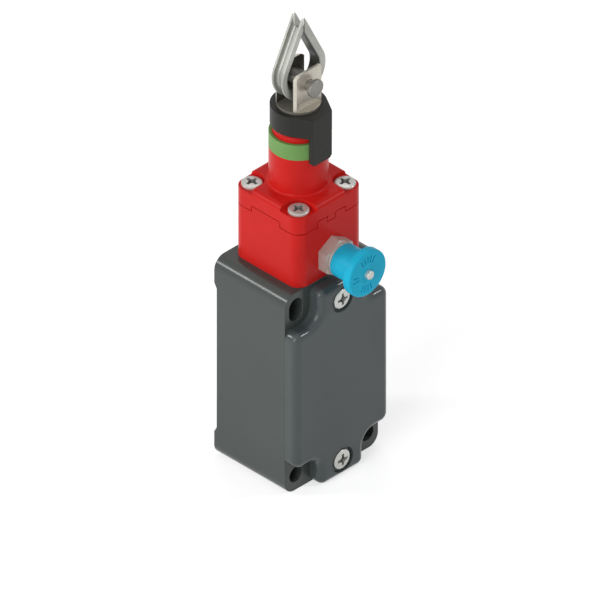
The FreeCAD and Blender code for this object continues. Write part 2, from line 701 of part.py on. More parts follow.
def clevis():
    """Steel fork: round foot inside the pointer's collar, two flatted ears and a slot between them."""
    foot = upright(CLEVIS_D, COLLAR_LOW, CLEVIS_TOP)
    ears = upright(CLEVIS_D, CLEVIS_TOP, EAR_TOP)
    ears = ears.makeChamfer(CLEVIS_EAR_CHAMFER, flat_edges(ears, "Z", EAR_TOP))
    half = CLEVIS_D / 2
    flat = CLEVIS_EAR_FLAT / 2
    ears = ears.common(box((-half, half), (HEAD_Y - flat, HEAD_Y + flat), (CLEVIS_TOP, EAR_TOP)))
    slot = box((-half, half), (HEAD_Y - SLOT_WIDTH / 2, HEAD_Y + SLOT_WIDTH / 2), (CLEVIS_TOP, EAR_TOP))
    pin_hole = forward(PIN_D + 2 * RUNNING_FIT, HEAD_Y + half, HEAD_Y - half, 0, PIN_Z)
    socket = upright(ROD_SPIGOT_D + 2 * RUNNING_FIT, COLLAR_LOW, COLLAR_LOW + ROD_SPIGOT_LENGTH)
    return foot.fuse(ears).removeSplitter().cut([slot, pin_hole, socket])


def clevis_pin():
    """Pin with a collar and a round head in front and a riveted end behind."""
    flat = CLEVIS_EAR_FLAT / 2
    head_back = HEAD_Y - flat - PIN_COLLAR_LENGTH
    head_front = head_back - PIN_HEAD_HEIGHT
    shank = forward(PIN_D, HEAD_Y + flat, HEAD_Y - flat, 0, PIN_Z)
    collar = forward(PIN_COLLAR_D, HEAD_Y - flat, head_back, 0, PIN_Z)
    head = forward(PIN_HEAD_D, head_back, head_front, 0, PIN_Z)
    head = head.makeFillet(PIN_HEAD_HEIGHT / 4, flat_edges(head, "Y", head_front))
    rivet = forward(PIN_RIVET_D, HEAD_Y + flat + PIN_RIVET_HEIGHT, HEAD_Y + flat, 0, PIN_Z)
    return shank.fuse([collar, head, rivet]).removeSplitter()


def pin_bush():
    """Bush on the pin, between the ears, that the thimble hangs on."""
    half = SLOT_WIDTH / 2 - LOOSE_FIT
    bush = forward(PIN_BUSH_D, HEAD_Y + half, HEAD_Y - half, 0, PIN_Z)
    return bush.cut(forward(PIN_D + 2 * RUNNING_FIT, HEAD_Y + half, HEAD_Y - half, 0, PIN_Z))


def channel_side(half_width, depth):
    """One side of the thimble's channel, from rim to floor, as (across, below the rims)."""
    return [(half_width, 0), (half_width, depth - THIMBLE_CORNER), (half_width - THIMBLE_CORNER, depth)]


def thimble_section():
    """Cross-section of the channel at the loop's right, open away from the loop's centre."""
    outer = channel_side(THIMBLE_WIDTH / 2, THIMBLE_DEPTH)
    inner = channel_side(THIMBLE_WIDTH / 2 - THIMBLE_SHEET, THIMBLE_DEPTH - THIMBLE_SHEET)
    outline = outer + [(-across, below) for across, below in reversed(outer)]
    outline += [(-across, below) for across, below in inner]
    outline += reversed(inner)
    points = [Vector(THIMBLE_LOOP_R - below, HEAD_Y + across, LOOP_Z) for across, below in outline]
    return Part.Face(Part.makePolygon(points + points[:1]))


def rope_thimble():
    """Teardrop loop: a round bend below and two straight legs that come together at the tip."""
    centre = Vector(0, HEAD_Y, LOOP_Z)
    axis = Vector(0, -1, 0)
    lean = math.degrees(math.asin(THIMBLE_LOOP_R / THIMBLE_TIP_RISE))
    leg_length = math.sqrt(THIMBLE_TIP_RISE ** 2 - THIMBLE_LOOP_R ** 2)
    start = thimble_section()
    start.rotate(centre, axis, lean)
    bend = start.revolve(centre, axis * -1, 180 + 2 * lean)
    along = Vector(-math.sin(math.radians(lean)), 0, math.cos(math.radians(lean)))
    right_leg = start.extrude(along * leg_length)
    half_gap = THIMBLE_TIP_GAP / 2
    z_range = (LOOP_Z, LOOP_Z + 2 * THIMBLE_TIP_RISE)
    y_range = (HEAD_Y - THIMBLE_WIDTH, HEAD_Y + THIMBLE_WIDTH)
    right_leg = right_leg.cut(box((half_gap, -2 * THIMBLE_LOOP_R), y_range, z_range))
    left_leg = right_leg.mirror(centre, Vector(1, 0, 0))
    return bend.fuse([right_leg, left_leg]).removeSplitter()


def reset_sleeve():
    """Sleeve through the head's front wall that guides the reset shaft and holds its spring."""
    tube = forward(SLEEVE_D, SLEEVE_BACK, SLEEVE_END)
    spring_bore = forward(SLEEVE_BORE_D, SLEEVE_BACK, SLEEVE_SHOULDER)
    shaft_bore = forward(SHAFT_D + 2 * RUNNING_FIT, SLEEVE_BACK, SLEEVE_END)
    return tube.cut([spring_bore, shaft_bore])


def reset_nut():
    """Hexagon nut on the sleeve, with a corner pointing up and chamfered front corners."""
    corner = NUT_FLATS / math.sqrt(3)
    points = []
    for index in range(7):
        angle = math.radians(60 * index + 30)
        points.append(Vector(corner * math.cos(angle), HEAD_FRONT, RESET_Z + corner * math.sin(angle)))
    nut = Part.Face(Part.makePolygon(points)).extrude(Vector(0, -NUT_THICKNESS, 0))
    wide = NUT_FLATS / 2 + NUT_THICKNESS * NUT_CHAMFER_SLOPE
    back = Vector(0, HEAD_FRONT, RESET_Z)
    cone = Part.makeCone(wide, NUT_FLATS / 2, NUT_THICKNESS, back, Vector(0, -1, 0))
    return nut.common(cone).cut(forward(SLEEVE_D + 2 * RUNNING_FIT, HEAD_FRONT, NUT_FRONT))


def reset_knob():
    """Pull knob: round neck, wide front flange, a well behind that clears the sleeve."""
    neck = forward(KNOB_NECK_D, KNOB_BACK, KNOB_FRONT + KNOB_FLANGE_THICKNESS)
    flange = forward(KNOB_FLANGE_D, KNOB_FRONT + KNOB_FLANGE_THICKNESS, KNOB_FRONT)
    body = neck.fuse(flange).removeSplitter()
    joint = flat_edges(body, "Y", KNOB_FRONT + KNOB_FLANGE_THICKNESS)
    joint = [edge for edge in joint if abs(edge.BoundBox.ZLength - KNOB_NECK_D) < 1e-3]
    body = body.makeFillet(KNOB_NECK_FILLET, joint)
    body = body.makeFillet(KNOB_EDGE_R, flat_edges(body, "Y", KNOB_FRONT))
    well = forward(SLEEVE_D + 2 * LOOSE_FIT, KNOB_BACK, SLEEVE_END - LOOSE_FIT)
    shaft_hole = forward(SHAFT_D + 2 * RUNNING_FIT, KNOB_BACK, knob_step())
    end_hole = forward(SHAFT_END_D + 2 * RUNNING_FIT, KNOB_BACK, KNOB_FRONT)
    return body.cut([well, shaft_hole, end_hole])


def knob_step():
    """Where the shaft narrows inside the knob."""
    return KNOB_FRONT + KNOB_FLANGE_THICKNESS


def reset_shaft():
    """Shaft with the latch bolt at its inner end and a bare pin end in the knob's face."""
    nose = forward(BOLT_NOSE_D, BOLT_TIP, BOLT_SHOULDER)
    head = forward(BOLT_HEAD_D, BOLT_SHOULDER, BOLT_BACK)
    shank = forward(SHAFT_D, BOLT_BACK, knob_step())
    end = forward(SHAFT_END_D, knob_step(), KNOB_FRONT - SHAFT_END_PROUD)
    return nose.fuse([head, shank, end]).removeSplitter()


def reset_spring():
    """Spring that holds the latch bolt in."""
    start = Vector(0, BOLT_BACK, RESET_Z)
    length = BOLT_BACK - SLEEVE_SHOULDER
    return coil(RESET_SPRING_D, RESET_SPRING_WIRE, RESET_SPRING_TURNS, start, length, Vector(0, -1, 0))


def terminal_places():
    """Front-view positions of the four terminals."""
    x = BLOCK_HALF - TERMINAL_INSET_X
    heights = (BLOCK_LOW + TERMINAL_INSET_Z, BLOCK_HIGH - TERMINAL_INSET_Z)
    return [(side * x, z) for side in (-1, 1) for z in heights]


def carrier_channel():
    """Shaft in the contact block that the carrier slides in."""
    half_x = CARRIER_WIDTH / 2 + LOOSE_FIT
    half_y = CARRIER_DEPTH / 2 + LOOSE_FIT
    low = CARRIER_LOW - BRIDGE_ABOVE_CARRIER_END
    return box((-half_x, half_x), (HEAD_Y - half_y, HEAD_Y + half_y), (low, BLOCK_HIGH))


def square(x, z, side, y_back, y_front):
    """Square block along Y, centred on a front-view position."""
    half = side / 2
    return box((x - half, x + half), (y_back, y_front), (z - half, z + half))


def contact_block():
    """Moulded block with a channel for the carrier, a window for the bridge and terminal pockets."""
    body = plate(rectangle(BLOCK_HALF, BLOCK_LOW, BLOCK_HIGH, BLOCK_EDGE_R), -BACK_WALL, BLOCK_FRONT)
    half_window = WINDOW_LENGTH / 2
    half_width = BRIDGE_WIDTH / 2 + LOOSE_FIT
    window_low = FIXED_CONTACT_TOP - FIXED_CONTACT_THICKNESS
    window_high = BRIDGE_LOW + BRIDGE_THICKNESS + PULL_TRAVEL + LOOSE_FIT
    window = box(
        (-half_window, half_window), (HEAD_Y - half_width, HEAD_Y + half_width), (window_low, window_high)
    )
    cutters = [carrier_channel(), window]
    shank_end = TERMINAL_FLOOR + TERMINAL_SHANK_LENGTH
    for x, z in terminal_places():
        cutters.append(square(x, z, TERMINAL_POCKET, TERMINAL_FLOOR, BLOCK_FRONT))
        cutters.append(forward(TERMINAL_HOLE_D, shank_end, TERMINAL_FLOOR, x, z))
    return body.cut(cutters)


def contact_carrier():
    """Insulating slide on the rod's tail that holds the contact bridge."""
    half_x = CARRIER_WIDTH / 2
    half_y = CARRIER_DEPTH / 2
    body = box((-half_x, half_x), (HEAD_Y - half_y, HEAD_Y + half_y), (CARRIER_LOW, CARRIER_TOP))
    tail = upright(ROD_TAIL_D + 2 * RUNNING_FIT, CARRIER_TOP - ROD_TAIL_LENGTH, CARRIER_TOP)
    return body.cut([tail, contact_bridge()])


def contact_bridge():
    """Brass strip that joins the two fixed contacts until the rope is pulled."""
    half_x = BRIDGE_LENGTH / 2
    half_y = BRIDGE_WIDTH / 2
    z_range = (BRIDGE_LOW, BRIDGE_LOW + BRIDGE_THICKNESS)
    return box((-half_x, half_x), (HEAD_Y - half_y, HEAD_Y + half_y), z_range)


def fixed_contacts():
    """Two fixed contacts at the ends of the window, under the bridge."""
    half_y = BRIDGE_WIDTH / 2
    outer = WINDOW_LENGTH / 2
    inner = outer - FIXED_CONTACT_LENGTH
    z_range = (FIXED_CONTACT_TOP - FIXED_CONTACT_THICKNESS, FIXED_CONTACT_TOP)
    y_range = (HEAD_Y - half_y, HEAD_Y + half_y)
    return Part.makeCompound([box((side * inner, side * outer), y_range, z_range) for side in (-1, 1)])


def terminal_clamps():
    """Square clamp plates under the terminal screws."""
    front = TERMINAL_FLOOR - CLAMP_THICKNESS
    plates = []
    for x, z in terminal_places():
        slab = square(x, z, CLAMP_SIDE, TERMINAL_FLOOR, front)
        plates.append(slab.cut(forward(TERMINAL_HOLE_D, TERMINAL_FLOOR, front, x, z)))
    return Part.makeCompound(plates)


def small_screw(x, seat_y, z, shank_length):
    """Cheese-head screw that faces the front."""
    head = forward(TERMINAL_SCREW_D, seat_y, seat_y - TERMINAL_SCREW_HEIGHT, x, z)
    return head.fuse(forward(TERMINAL_SHANK_D, seat_y + shank_length, seat_y, x, z)).removeSplitter()


def terminal_screws():
    """One screw in each terminal."""
    seat = TERMINAL_FLOOR - CLAMP_THICKNESS
    length = TERMINAL_SHANK_LENGTH + CLAMP_THICKNESS
    return Part.makeCompound([small_screw(x, seat, z, length) for x, z in terminal_places()])


def earth_screw():
    """Earth terminal screw in the back wall of the cavity."""
    x, z = earth_place()
    return small_screw(x, -BACK_WALL, z, EARTH_SHANK_LENGTH)


PIECES = [
    housing, front_cover, cover_gasket, cover_screws, head_base, head_cap, head_screws, head_gasket,
    indicator_ring, guide_bush, rod_seal, pull_rod, spring_seat, seat_clip, main_spring, inner_spring,
    tension_pointer, clevis, clevis_pin, pin_bush, rope_thimble, reset_sleeve, reset_nut, reset_knob,
    reset_shaft, reset_spring, contact_block, contact_carrier, contact_bridge, fixed_contacts,
    terminal_clamps, terminal_screws, earth_screw,
]

os.makedirs("parts", exist_ok=True)
for piece in PIECES:
    piece().exportStep("parts/" + piece.__name__ + ".step")
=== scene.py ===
"""Dresses the rope pull switch: painted castings, moulded plastics, bright screws, knob and thimble."""
from __future__ import annotations

import json
import logging
import math
from dataclasses import KW_ONLY, dataclass, field
from enum import Enum
from typing import Any, Sequence

import bmesh
import bpy
from mathutils import Matrix, Vector

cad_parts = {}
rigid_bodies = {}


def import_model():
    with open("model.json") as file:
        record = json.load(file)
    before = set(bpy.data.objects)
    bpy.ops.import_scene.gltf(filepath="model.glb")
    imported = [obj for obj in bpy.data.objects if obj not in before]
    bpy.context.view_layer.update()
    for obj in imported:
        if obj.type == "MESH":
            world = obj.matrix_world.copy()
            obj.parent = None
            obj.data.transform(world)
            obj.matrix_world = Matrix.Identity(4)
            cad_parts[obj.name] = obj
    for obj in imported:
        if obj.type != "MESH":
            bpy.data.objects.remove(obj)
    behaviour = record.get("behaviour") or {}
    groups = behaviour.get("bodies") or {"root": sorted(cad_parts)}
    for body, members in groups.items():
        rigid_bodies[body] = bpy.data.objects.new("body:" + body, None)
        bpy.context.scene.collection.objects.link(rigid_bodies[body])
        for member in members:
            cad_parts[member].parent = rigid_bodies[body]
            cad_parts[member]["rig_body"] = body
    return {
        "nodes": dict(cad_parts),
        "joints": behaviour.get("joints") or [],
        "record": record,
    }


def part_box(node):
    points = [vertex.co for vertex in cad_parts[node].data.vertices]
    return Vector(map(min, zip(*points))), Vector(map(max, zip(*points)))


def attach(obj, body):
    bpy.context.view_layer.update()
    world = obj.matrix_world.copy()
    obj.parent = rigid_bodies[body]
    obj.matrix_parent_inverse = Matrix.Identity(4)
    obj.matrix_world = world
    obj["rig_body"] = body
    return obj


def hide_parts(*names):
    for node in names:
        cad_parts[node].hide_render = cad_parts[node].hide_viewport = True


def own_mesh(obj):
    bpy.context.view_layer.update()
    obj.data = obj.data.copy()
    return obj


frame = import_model()

LOG = logging.getLogger("rope_pull_switch")
MM = 0.001
WHITE = (1.0, 1.0, 1.0, 1.0)
Colour = tuple[float, float, float]
Scale = tuple[float, float, float]

# Thimble: radius of its rims round the bend, height of its rims over the channel's floor, and height of
# the point where the rim lines meet above the bend's centre
LOOP_RADIUS = 9.1 * MM
CHANNEL_DEPTH = 2.6 * MM
TIP_RISE = 20.45 * MM


class Axis(Enum):
    """Directions that turned pieces point in."""

    UP = Vector((0, 0, 1))
    FRONT = Vector((0, -1, 0))


def paint(red: int, green: int, blue: int) -> Colour:
    """Turns a display colour into linear light, by the sRGB curve.

    Args:
        red, green, blue: Display values from 0 to 255.

    Returns:
        The three linear values.
    """
    values = []
    for channel in (red, green, blue):
        share = channel / 255
        values.append(share / 12.92 if share <= 0.04045 else ((share + 0.055) / 1.055) ** 2.4)
    return tuple(values)


def shade(colour: Colour, factor: float) -> tuple[float, float, float, float]:
    """Scales a linear colour by a brightness factor and adds full alpha."""
    return (colour[0] * factor, colour[1] * factor, colour[2] * factor, 1.0)


class Signal:
    """A shader socket that can be used in Python expressions."""

    def __init__(self, graph: Graph, socket: bpy.types.NodeSocket) -> None:
        """Keeps the socket and the graph it belongs to."""
        self.graph = graph
        self.socket = socket

    def _math(self, operation: str, first: Any, second: Any = 0.0) -> Signal:
        """Adds one Math node, whose two sides are numbers or signals."""
        return self.graph.signal("ShaderNodeMath", {"operation": operation}, {0: first, 1: second})

    def __add__(self, other: Any) -> Signal:
        """Sum."""
        return self._math("ADD", self, other)

    def __radd__(self, other: Any) -> Signal:
        """Sum with a number on the left."""
        return self._math("ADD", other, self)

    def __sub__(self, other: Any) -> Signal:
        """Difference."""
        return self._math("SUBTRACT", self, other)

    def __rsub__(self, other: Any) -> Signal:
        """Difference with a number on the left."""
        return self._math("SUBTRACT", other, self)

    def __mul__(self, other: Any) -> Signal:
        """Product."""
        return self._math("MULTIPLY", self, other)

    def __rmul__(self, other: Any) -> Signal:
        """Product with a number on the left."""
        return self._math("MULTIPLY", other, self)

    def __pow__(self, other: Any) -> Signal:
        """Power."""
        return self._math("POWER", self, other)

    def __abs__(self) -> Signal:
        """Absolute value."""
        return self._math("ABSOLUTE", self)

    def ramp(self, low: float, high: float) -> Signal:
        """Smooth step from 0 at low to 1 at high.

        Args:
            low: Value that gives 0.
            high: Value that gives 1.

        Returns:
            The stepped signal.
        """
        settings = {"interpolation_type": "SMOOTHSTEP"}
        inputs = {"Value": self, "From Min": low, "From Max": high}
        return self.graph.signal("ShaderNodeMapRange", settings, inputs)


class Graph:
    """Node tree that is filled with nodes and signals."""

    def __init__(self, tree: bpy.types.NodeTree) -> None:
        """Empties the tree and keeps it."""
        self.tree = tree
        tree.nodes.clear()

    def node(self, kind: str, settings: dict[str, Any] | None = None,
             inputs: dict[str | int, Any] | None = None) -> bpy.types.Node:
        """Adds a node.

        Args:
            kind: Blender's type name.
            settings: Attributes to set before the sockets.
            inputs: Values or signals by socket name or number.

        Returns:
            The new node.
        """
        made = self.tree.nodes.new(kind)
        for name, value in (settings or {}).items():
            setattr(made, name, value)
        for key, value in (inputs or {}).items():
            self.feed(made.inputs[key], value)
        return made

    def signal(self, kind: str, settings: dict[str, Any] | None = None,
               inputs: dict[str | int, Any] | None = None, output: str | int = 0) -> Signal:
        """Adds a node, as node() does, and gives one of its outputs by name or number."""
        return Signal(self, self.node(kind, settings, inputs).outputs[output])

    def feed(self, socket: bpy.types.NodeSocket, value: Any) -> None:
        """Links a signal to a socket, or sets a plain value on it.

        Args:
            socket: Input socket.
            value: Signal or value for it.
        """
        if isinstance(value, Signal):
            self.tree.links.new(value.socket, socket)
        else:
            socket.default_value = value

    def seen_directly(self) -> Signal:
        """Tells what is seen from what only gives light.

        Returns:
            1 for rays from the camera, mirrors and glass, and 0 for diffuse light.
        """
        path = self.node("ShaderNodeLightPath")
        kinds = ("Is Camera Ray", "Is Glossy Ray", "Is Transmission Ray")
        camera, glossy, through = (Signal(self, path.outputs[kind]) for kind in kinds)
        return camera + glossy + through


class Surface(Graph):
    """Node tree of one material, with a Principled shader at its end.

    Attributes:
        COARSE, FINE: Octaves of a plain noise and of a finer one.
        EVEN: Scale of a noise that is the same on each axis.
    """

    COARSE = 2.0
    FINE = 3.0
    EVEN = (1.0, 1.0, 1.0)

    def __init__(self, name: str) -> None:
        """Makes an empty material.

        Args:
            name: Name of the material.
        """
        self.material = bpy.data.materials.new(name)
        self.material.use_nodes = True
        super().__init__(self.material.node_tree)
        self.shader = self.node("ShaderNodeBsdfPrincipled")
        self.end = self.node("ShaderNodeOutputMaterial", inputs={"Surface": self.shaded()})

    def shaded(self) -> Signal:
        """The Principled shader's output."""
        return Signal(self, self.shader.outputs[0])

    def set(self, **inputs: Any) -> None:
        """Sets Principled sockets; underscores in the names stand for spaces."""
        for name, value in inputs.items():
            self.feed(self.shader.inputs[name.replace("_", " ")], value)

    def point(self) -> Signal:
        """Object coordinates, in metres."""
        return self.signal("ShaderNodeTexCoord", output="Object")

    def axes(self) -> tuple[Signal, Signal, Signal]:
        """Object coordinates as three separate signals."""
        parts = self.node("ShaderNodeSeparateXYZ", inputs={0: self.point()})
        return tuple(Signal(self, socket) for socket in parts.outputs)

    def noise(self, scale: float, detail: float = COARSE, stretch: Scale = EVEN) -> Signal:
        """Noise on object coordinates.

        Args:
            scale: Waves per metre.
            detail: Octaves.
            stretch: Scale of each axis, for streaks.

        Returns:
            The noise, about 0.5 on average.
        """
        place = self.signal("ShaderNodeMapping", inputs={"Vector": self.point(), "Scale": stretch})
        inputs = {"Vector": place, "Scale": scale, "Detail": detail}
        return self.signal("ShaderNodeTexNoise", inputs=inputs)

    def mix(self, factor: Any, first: Any, second: Any) -> Signal:
        """Mixes two colours or signals; the factor is the share of the second."""
        return self.signal("ShaderNodeMix", {"data_type": "RGBA"}, {0: factor, 6: first, 7: second}, 2)

    def bump(self, height: Signal, strength: float, depth: float) -> None:
        """Feeds a height through a Bump node to the shader's normal."""
        inputs = {"Height": height, "Strength": strength, "Distance": depth}
        self.set(Normal=self.signal("ShaderNodeBump", inputs=inputs))


@dataclass(frozen=True)
class Finish:
    """Surface finish that becomes one material: a fine texture, uneven gloss and a drifting colour.

    Attributes:
        name: Material name.
        colour: Linear base colour.
        roughness: Mean roughness.
        gloss: Strength of the clear reflection; 0.5 is that of plain varnish.
        grain: Waves per metre of the texture.
        relief: Bump strength of the texture.
        depth: Height of the texture, in metres.
        octaves: Octaves of the texture.
        stretch: Scale of the texture on each axis; the smallest value is the direction of streaks.
        cloud: Waves per metre of the slow changes in gloss.
        cloud_stretch: Scale of those changes on each axis.
        spreads: Change of roughness by the texture and by the slow changes.
        drift: Largest drift of the colour, as a share of it.
        drift_waves: Waves per metre of that drift.
        index: Refractive index.
        bare: How metallic the surface is; a dull plating is less so.
        NOISE_MEAN: Mean value of a noise.
        DRIFT_RANGE: Noise values at which the colour is darkest and lightest.
    """

    NOISE_MEAN = 0.5
    DRIFT_RANGE = (0.3, 0.7)

    name: str
    colour: Colour
    roughness: float
    gloss: float = 0.5
    _: KW_ONLY
    grain: float
    relief: float
    depth: float
    octaves: float = Surface.FINE
    stretch: Scale = Surface.EVEN
    cloud: float
    cloud_stretch: Scale = Surface.EVEN
    spreads: tuple[float, float]
    drift: float
    drift_waves: float
    index: float = 1.5
    bare: float = 0.0

    def material(self) -> bpy.types.Material:
        """Builds the material of this finish.

        Returns:
            The new material.
        """
        graph = Surface(self.name)
        grain = graph.noise(self.grain, self.octaves, self.stretch)
        cloud = graph.noise(self.cloud, stretch=self.cloud_stretch)
        rough = self.roughness
        for noise, spread in zip((grain, cloud), self.spreads):
            rough = rough + spread * (noise - self.NOISE_MEAN)
        graph.set(Base_Color=self.tone(graph), Roughness=rough, Metallic=self.bare)
        graph.set(IOR=self.index, Specular_IOR_Level=self.gloss)
        graph.bump(grain, self.relief, self.depth)
        return graph.material

    def tone(self, graph: Surface) -> Signal:
        """Base colour that drifts slightly lighter and darker over the surface."""
        drift = graph.noise(self.drift_waves, Surface.FINE).ramp(*self.DRIFT_RANGE)
        return graph.mix(drift, shade(self.colour, 1 - self.drift), shade(self.colour, 1 + self.drift))


@dataclass(frozen=True)
class PowderCoat(Finish):
    """Baked paint with a fine orange-peel texture."""

    grain: float = 2600.0
    relief: float = 0.03
    depth: float = 0.05 * MM
    octaves: float = Surface.COARSE
    cloud: float = 150.0
    spreads: tuple[float, float] = (0.10, 0.08)
    drift: float = 0.05
    drift_waves: float = 40.0


@dataclass(frozen=True)
class MouldedPlastic(Finish):
    """Plastic with a spark-eroded mould texture, flow marks in its gloss and faint mottling."""

    grain: float = 3600.0
    relief: float = 0.10
    depth: float = 0.04 * MM
    cloud: float = 90.0
    cloud_stretch: Scale = (1.0, 1.0, 0.35)
    spreads: tuple[float, float] = (0.12, 0.06)
    drift: float = 0.06
    drift_waves: float = 70.0
    index: float = 1.48


@dataclass(frozen=True)
class BrushedMetal(Finish):
    """Bare or plated metal with fine streaks along one axis and faint stains."""

    grain: float = 4200.0
    relief: float = 0.10
    depth: float = 0.03 * MM
    stretch: Scale = (1.0, 1.0, 0.06)
    cloud: float = 160.0
    spreads: tuple[float, float] = (0.16, 0.10)
    drift: float = 0.12
    drift_waves: float = 110.0
    bare: float = 1.0


@dataclass(frozen=True)
class ForkSteel(BrushedMetal):
    """Steel of the clevis, with painted shade on its foot and on the inner faces of the fork.

    Attributes:
        middle: Middle of the fork from front to back, in metres.
        half_slot: Half the width of the slot.
        floor: Height of the slot's floor.
        border: Width of the change from clean to dark.
        patches: Waves per metre of the patches in the painted shade.
        thinnest: Least strength of the painted shade.
        slot_shade, foot_shade: Brightness of the painted shade in the slot and on the foot, as shares of
            the colour.
    """

    middle: float = -15.95 * MM
    half_slot: float = 3.45 * MM
    floor: float = 122.0 * MM
    border: float = 0.2 * MM
    patches: float = 420.0
    thinnest: float = 0.8
    slot_shade: float = 0.08
    foot_shade: float = 0.5

    def tone(self, graph: Surface) -> Signal:
        """Base colour: clean outside, with painted shade on the foot and in the slot.

        Args:
            graph: Node tree to add to.

        Returns:
            The colour.
        """
        _, depth, height = graph.axes()
        # Painted shade: the colour is darker inside the slot and on the foot, where they lie in shade
        inside = 1 - abs(depth - self.middle).ramp(self.half_slot, self.half_slot + self.border)
        above = height.ramp(self.floor, self.floor + self.border)
        patchy = self.thinnest + (1 - self.thinnest) * graph.noise(self.patches)
        fork = graph.mix(inside * patchy, super().tone(graph), shade(self.colour, self.slot_shade))
        return graph.mix(above, shade(self.colour, self.foot_shade), fork)


@dataclass(frozen=True)
class ThimbleSteel(BrushedMetal):
    """Steel of the thimble, with painted shade on the eye's face and a painted highlight at its foot.

    Attributes:
        centre: Height of the bend's centre, in metres.
        inner: Radius of the eye's bend.
        lean: Lean of the legs, in radians.
        join: Half the height over which the legs turn into the bend.
        border: Distances outside the eye's face at which its dark begins to fade and has faded.
        highlight_band: Heights over the centre at which the painted highlight begins to fade and has
            faded.
        patches: Waves per metre of the patches in the painted shade.
        thinnest: Least strength of the painted shade.
        eye_shade, highlight_gain: Brightness of the painted shade and of the painted highlight, as shares
            of the colour.
    """

    centre: float = 133.2 * MM
    inner: float = LOOP_RADIUS - CHANNEL_DEPTH
    lean: float = math.asin(LOOP_RADIUS / TIP_RISE)
    join: float = 0.1 * MM
    border: tuple[float, float] = (0.1 * MM, 0.5 * MM)
    highlight_band: tuple[float, float] = (-4.0 * MM, -1.5 * MM)
    patches: float = 350.0
    thinnest: float = 0.75
    eye_shade: float = 0.2
    highlight_gain: float = 1.6

    def tone(self, graph: Surface) -> Signal:
        """Base colour: clean rims and channel, painted shade on the eye's face and a painted highlight at
        its foot.

        Args:
            graph: Node tree to add to.

        Returns:
            The colour.
        """
        across, _, height = graph.axes()
        rise = height - self.centre
        legs = abs(across) * math.cos(self.lean) + rise * math.sin(self.lean)
        along = rise * math.cos(self.lean) - abs(across) * math.sin(self.lean)
        bend = (across * across + rise * rise) ** 0.5
        upper = along.ramp(-self.join, self.join)
        reach = legs * upper + bend * (1 - upper)
        # Painted shade on the eye's face, with a painted highlight at the foot of the eye
        eye = 1 - (reach - self.inner).ramp(*self.border)
        highlight_band = 1 - rise.ramp(*self.highlight_band)
        patchy = self.thinnest + (1 - self.thinnest) * graph.noise(self.patches)
        face = graph.mix(highlight_band, shade(self.colour, self.eye_shade), shade(self.colour, self.highlight_gain))
        return graph.mix(eye * patchy, super().tone(graph), face)


def finishes() -> dict[str, Finish]:
    """Finishes of the part.

    Returns:
        The finish for each of the record's material slots, and for pieces that differ from theirs.
    """
    return {
        "housing_paint": PowderCoat("grey_casting_paint", paint(74, 80, 77), 0.20, 0.3),
        "cover_paint": PowderCoat("grey_cover_paint", paint(78, 85, 86), 0.18, 0.3),
        "red_paint": PowderCoat("red_head_paint", paint(211, 34, 30), 0.32, 0.12, grain=3000, relief=0.04),
        "green_plastic": MouldedPlastic("green_ring_plastic", paint(119, 163, 93), 0.5, 0.15),
        "black_plastic": MouldedPlastic("black_collar_plastic", paint(40, 40, 37), 0.45, 0.2),
        "blue_plastic": MouldedPlastic("blue_knob_plastic", paint(36, 188, 225), 0.40, 0.1),
        "steel": BrushedMetal("bare_steel", paint(170, 167, 157), 0.36, bare=0.7),
        "fork_steel": ForkSteel("clevis_steel", paint(206, 200, 187), 0.34, bare=0.5),
        "thimble_steel": ThimbleSteel("thimble_steel", paint(176, 177, 170), 0.42, bare=0.5),
        "pin_steel": BrushedMetal("pin_steel", paint(134, 132, 125), 0.34, bare=0.7),
        # Dark steel for the pin bush, which sits in the fork's slot: painted shade
        "dark_steel": BrushedMetal("bush_painted_shade_steel", paint(92, 91, 87), 0.42, bare=0.7),
        "plated_steel": BrushedMetal("plated_steel", paint(206, 207, 202), 0.26, bare=0.4),
        # Darker steel for the screws' cross recesses: painted shade
        "recess_shade_steel": BrushedMetal("dark_recess_steel", paint(170, 172, 169), 0.4, bare=0.35),
        "nut_steel": BrushedMetal("dull_nut_steel", paint(178, 167, 160), 0.5, bare=0.35),
        "spring_steel": BrushedMetal("spring_wire", paint(140, 140, 140), 0.35),
        "brass": BrushedMetal("plain_brass", paint(214, 182, 116), 0.30),
        "rubber": MouldedPlastic("black_rubber", paint(32, 32, 32), 0.72),
        "insulation": MouldedPlastic("dark_insulation", paint(62, 62, 64), 0.60),
    }


class Palette:
    """Materials by slot, each built once."""

    def __init__(self) -> None:
        """Builds every finish."""
        self.by_slot = {slot: finish.material() for slot, finish in finishes().items()}
        record = frame["record"]
        self.slot_of = {row["node"]: row["material_slot"] for row in record["subparts"]}

    def coat(self, piece: bpy.types.Object, *slots: str) -> None:
        """Gives a piece its materials, in place of those it has.

        Args:
            piece: Piece to coat.
            slots: Slots of the materials, in the order of the faces' material numbers.
        """
        # Clearing resets the faces' material numbers, so a mesh without materials is not cleared
        if piece.data.materials:
            piece.data.materials.clear()
        for slot in slots:
            piece.data.materials.append(self.by_slot[slot])

    def stand_in(self, piece: bpy.types.Object, node: str, *coats: str) -> None:
        """Lets a piece stand for a CAD node, on its body and in its slot.

        Args:
            piece: New piece.
            node: CAD node.
            coats: Slots of its materials, if they differ from the node's.
        """
        slot = self.slot_of[node]
        self.coat(piece, *(coats or [slot]))
        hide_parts(node)
        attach(piece, frame["nodes"][node]["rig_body"])

    def coat_nodes(self) -> None:
        """Gives every CAD node the finish of its slot."""
        for name, node in frame["nodes"].items():
            self.coat(node, self.slot_of[name])


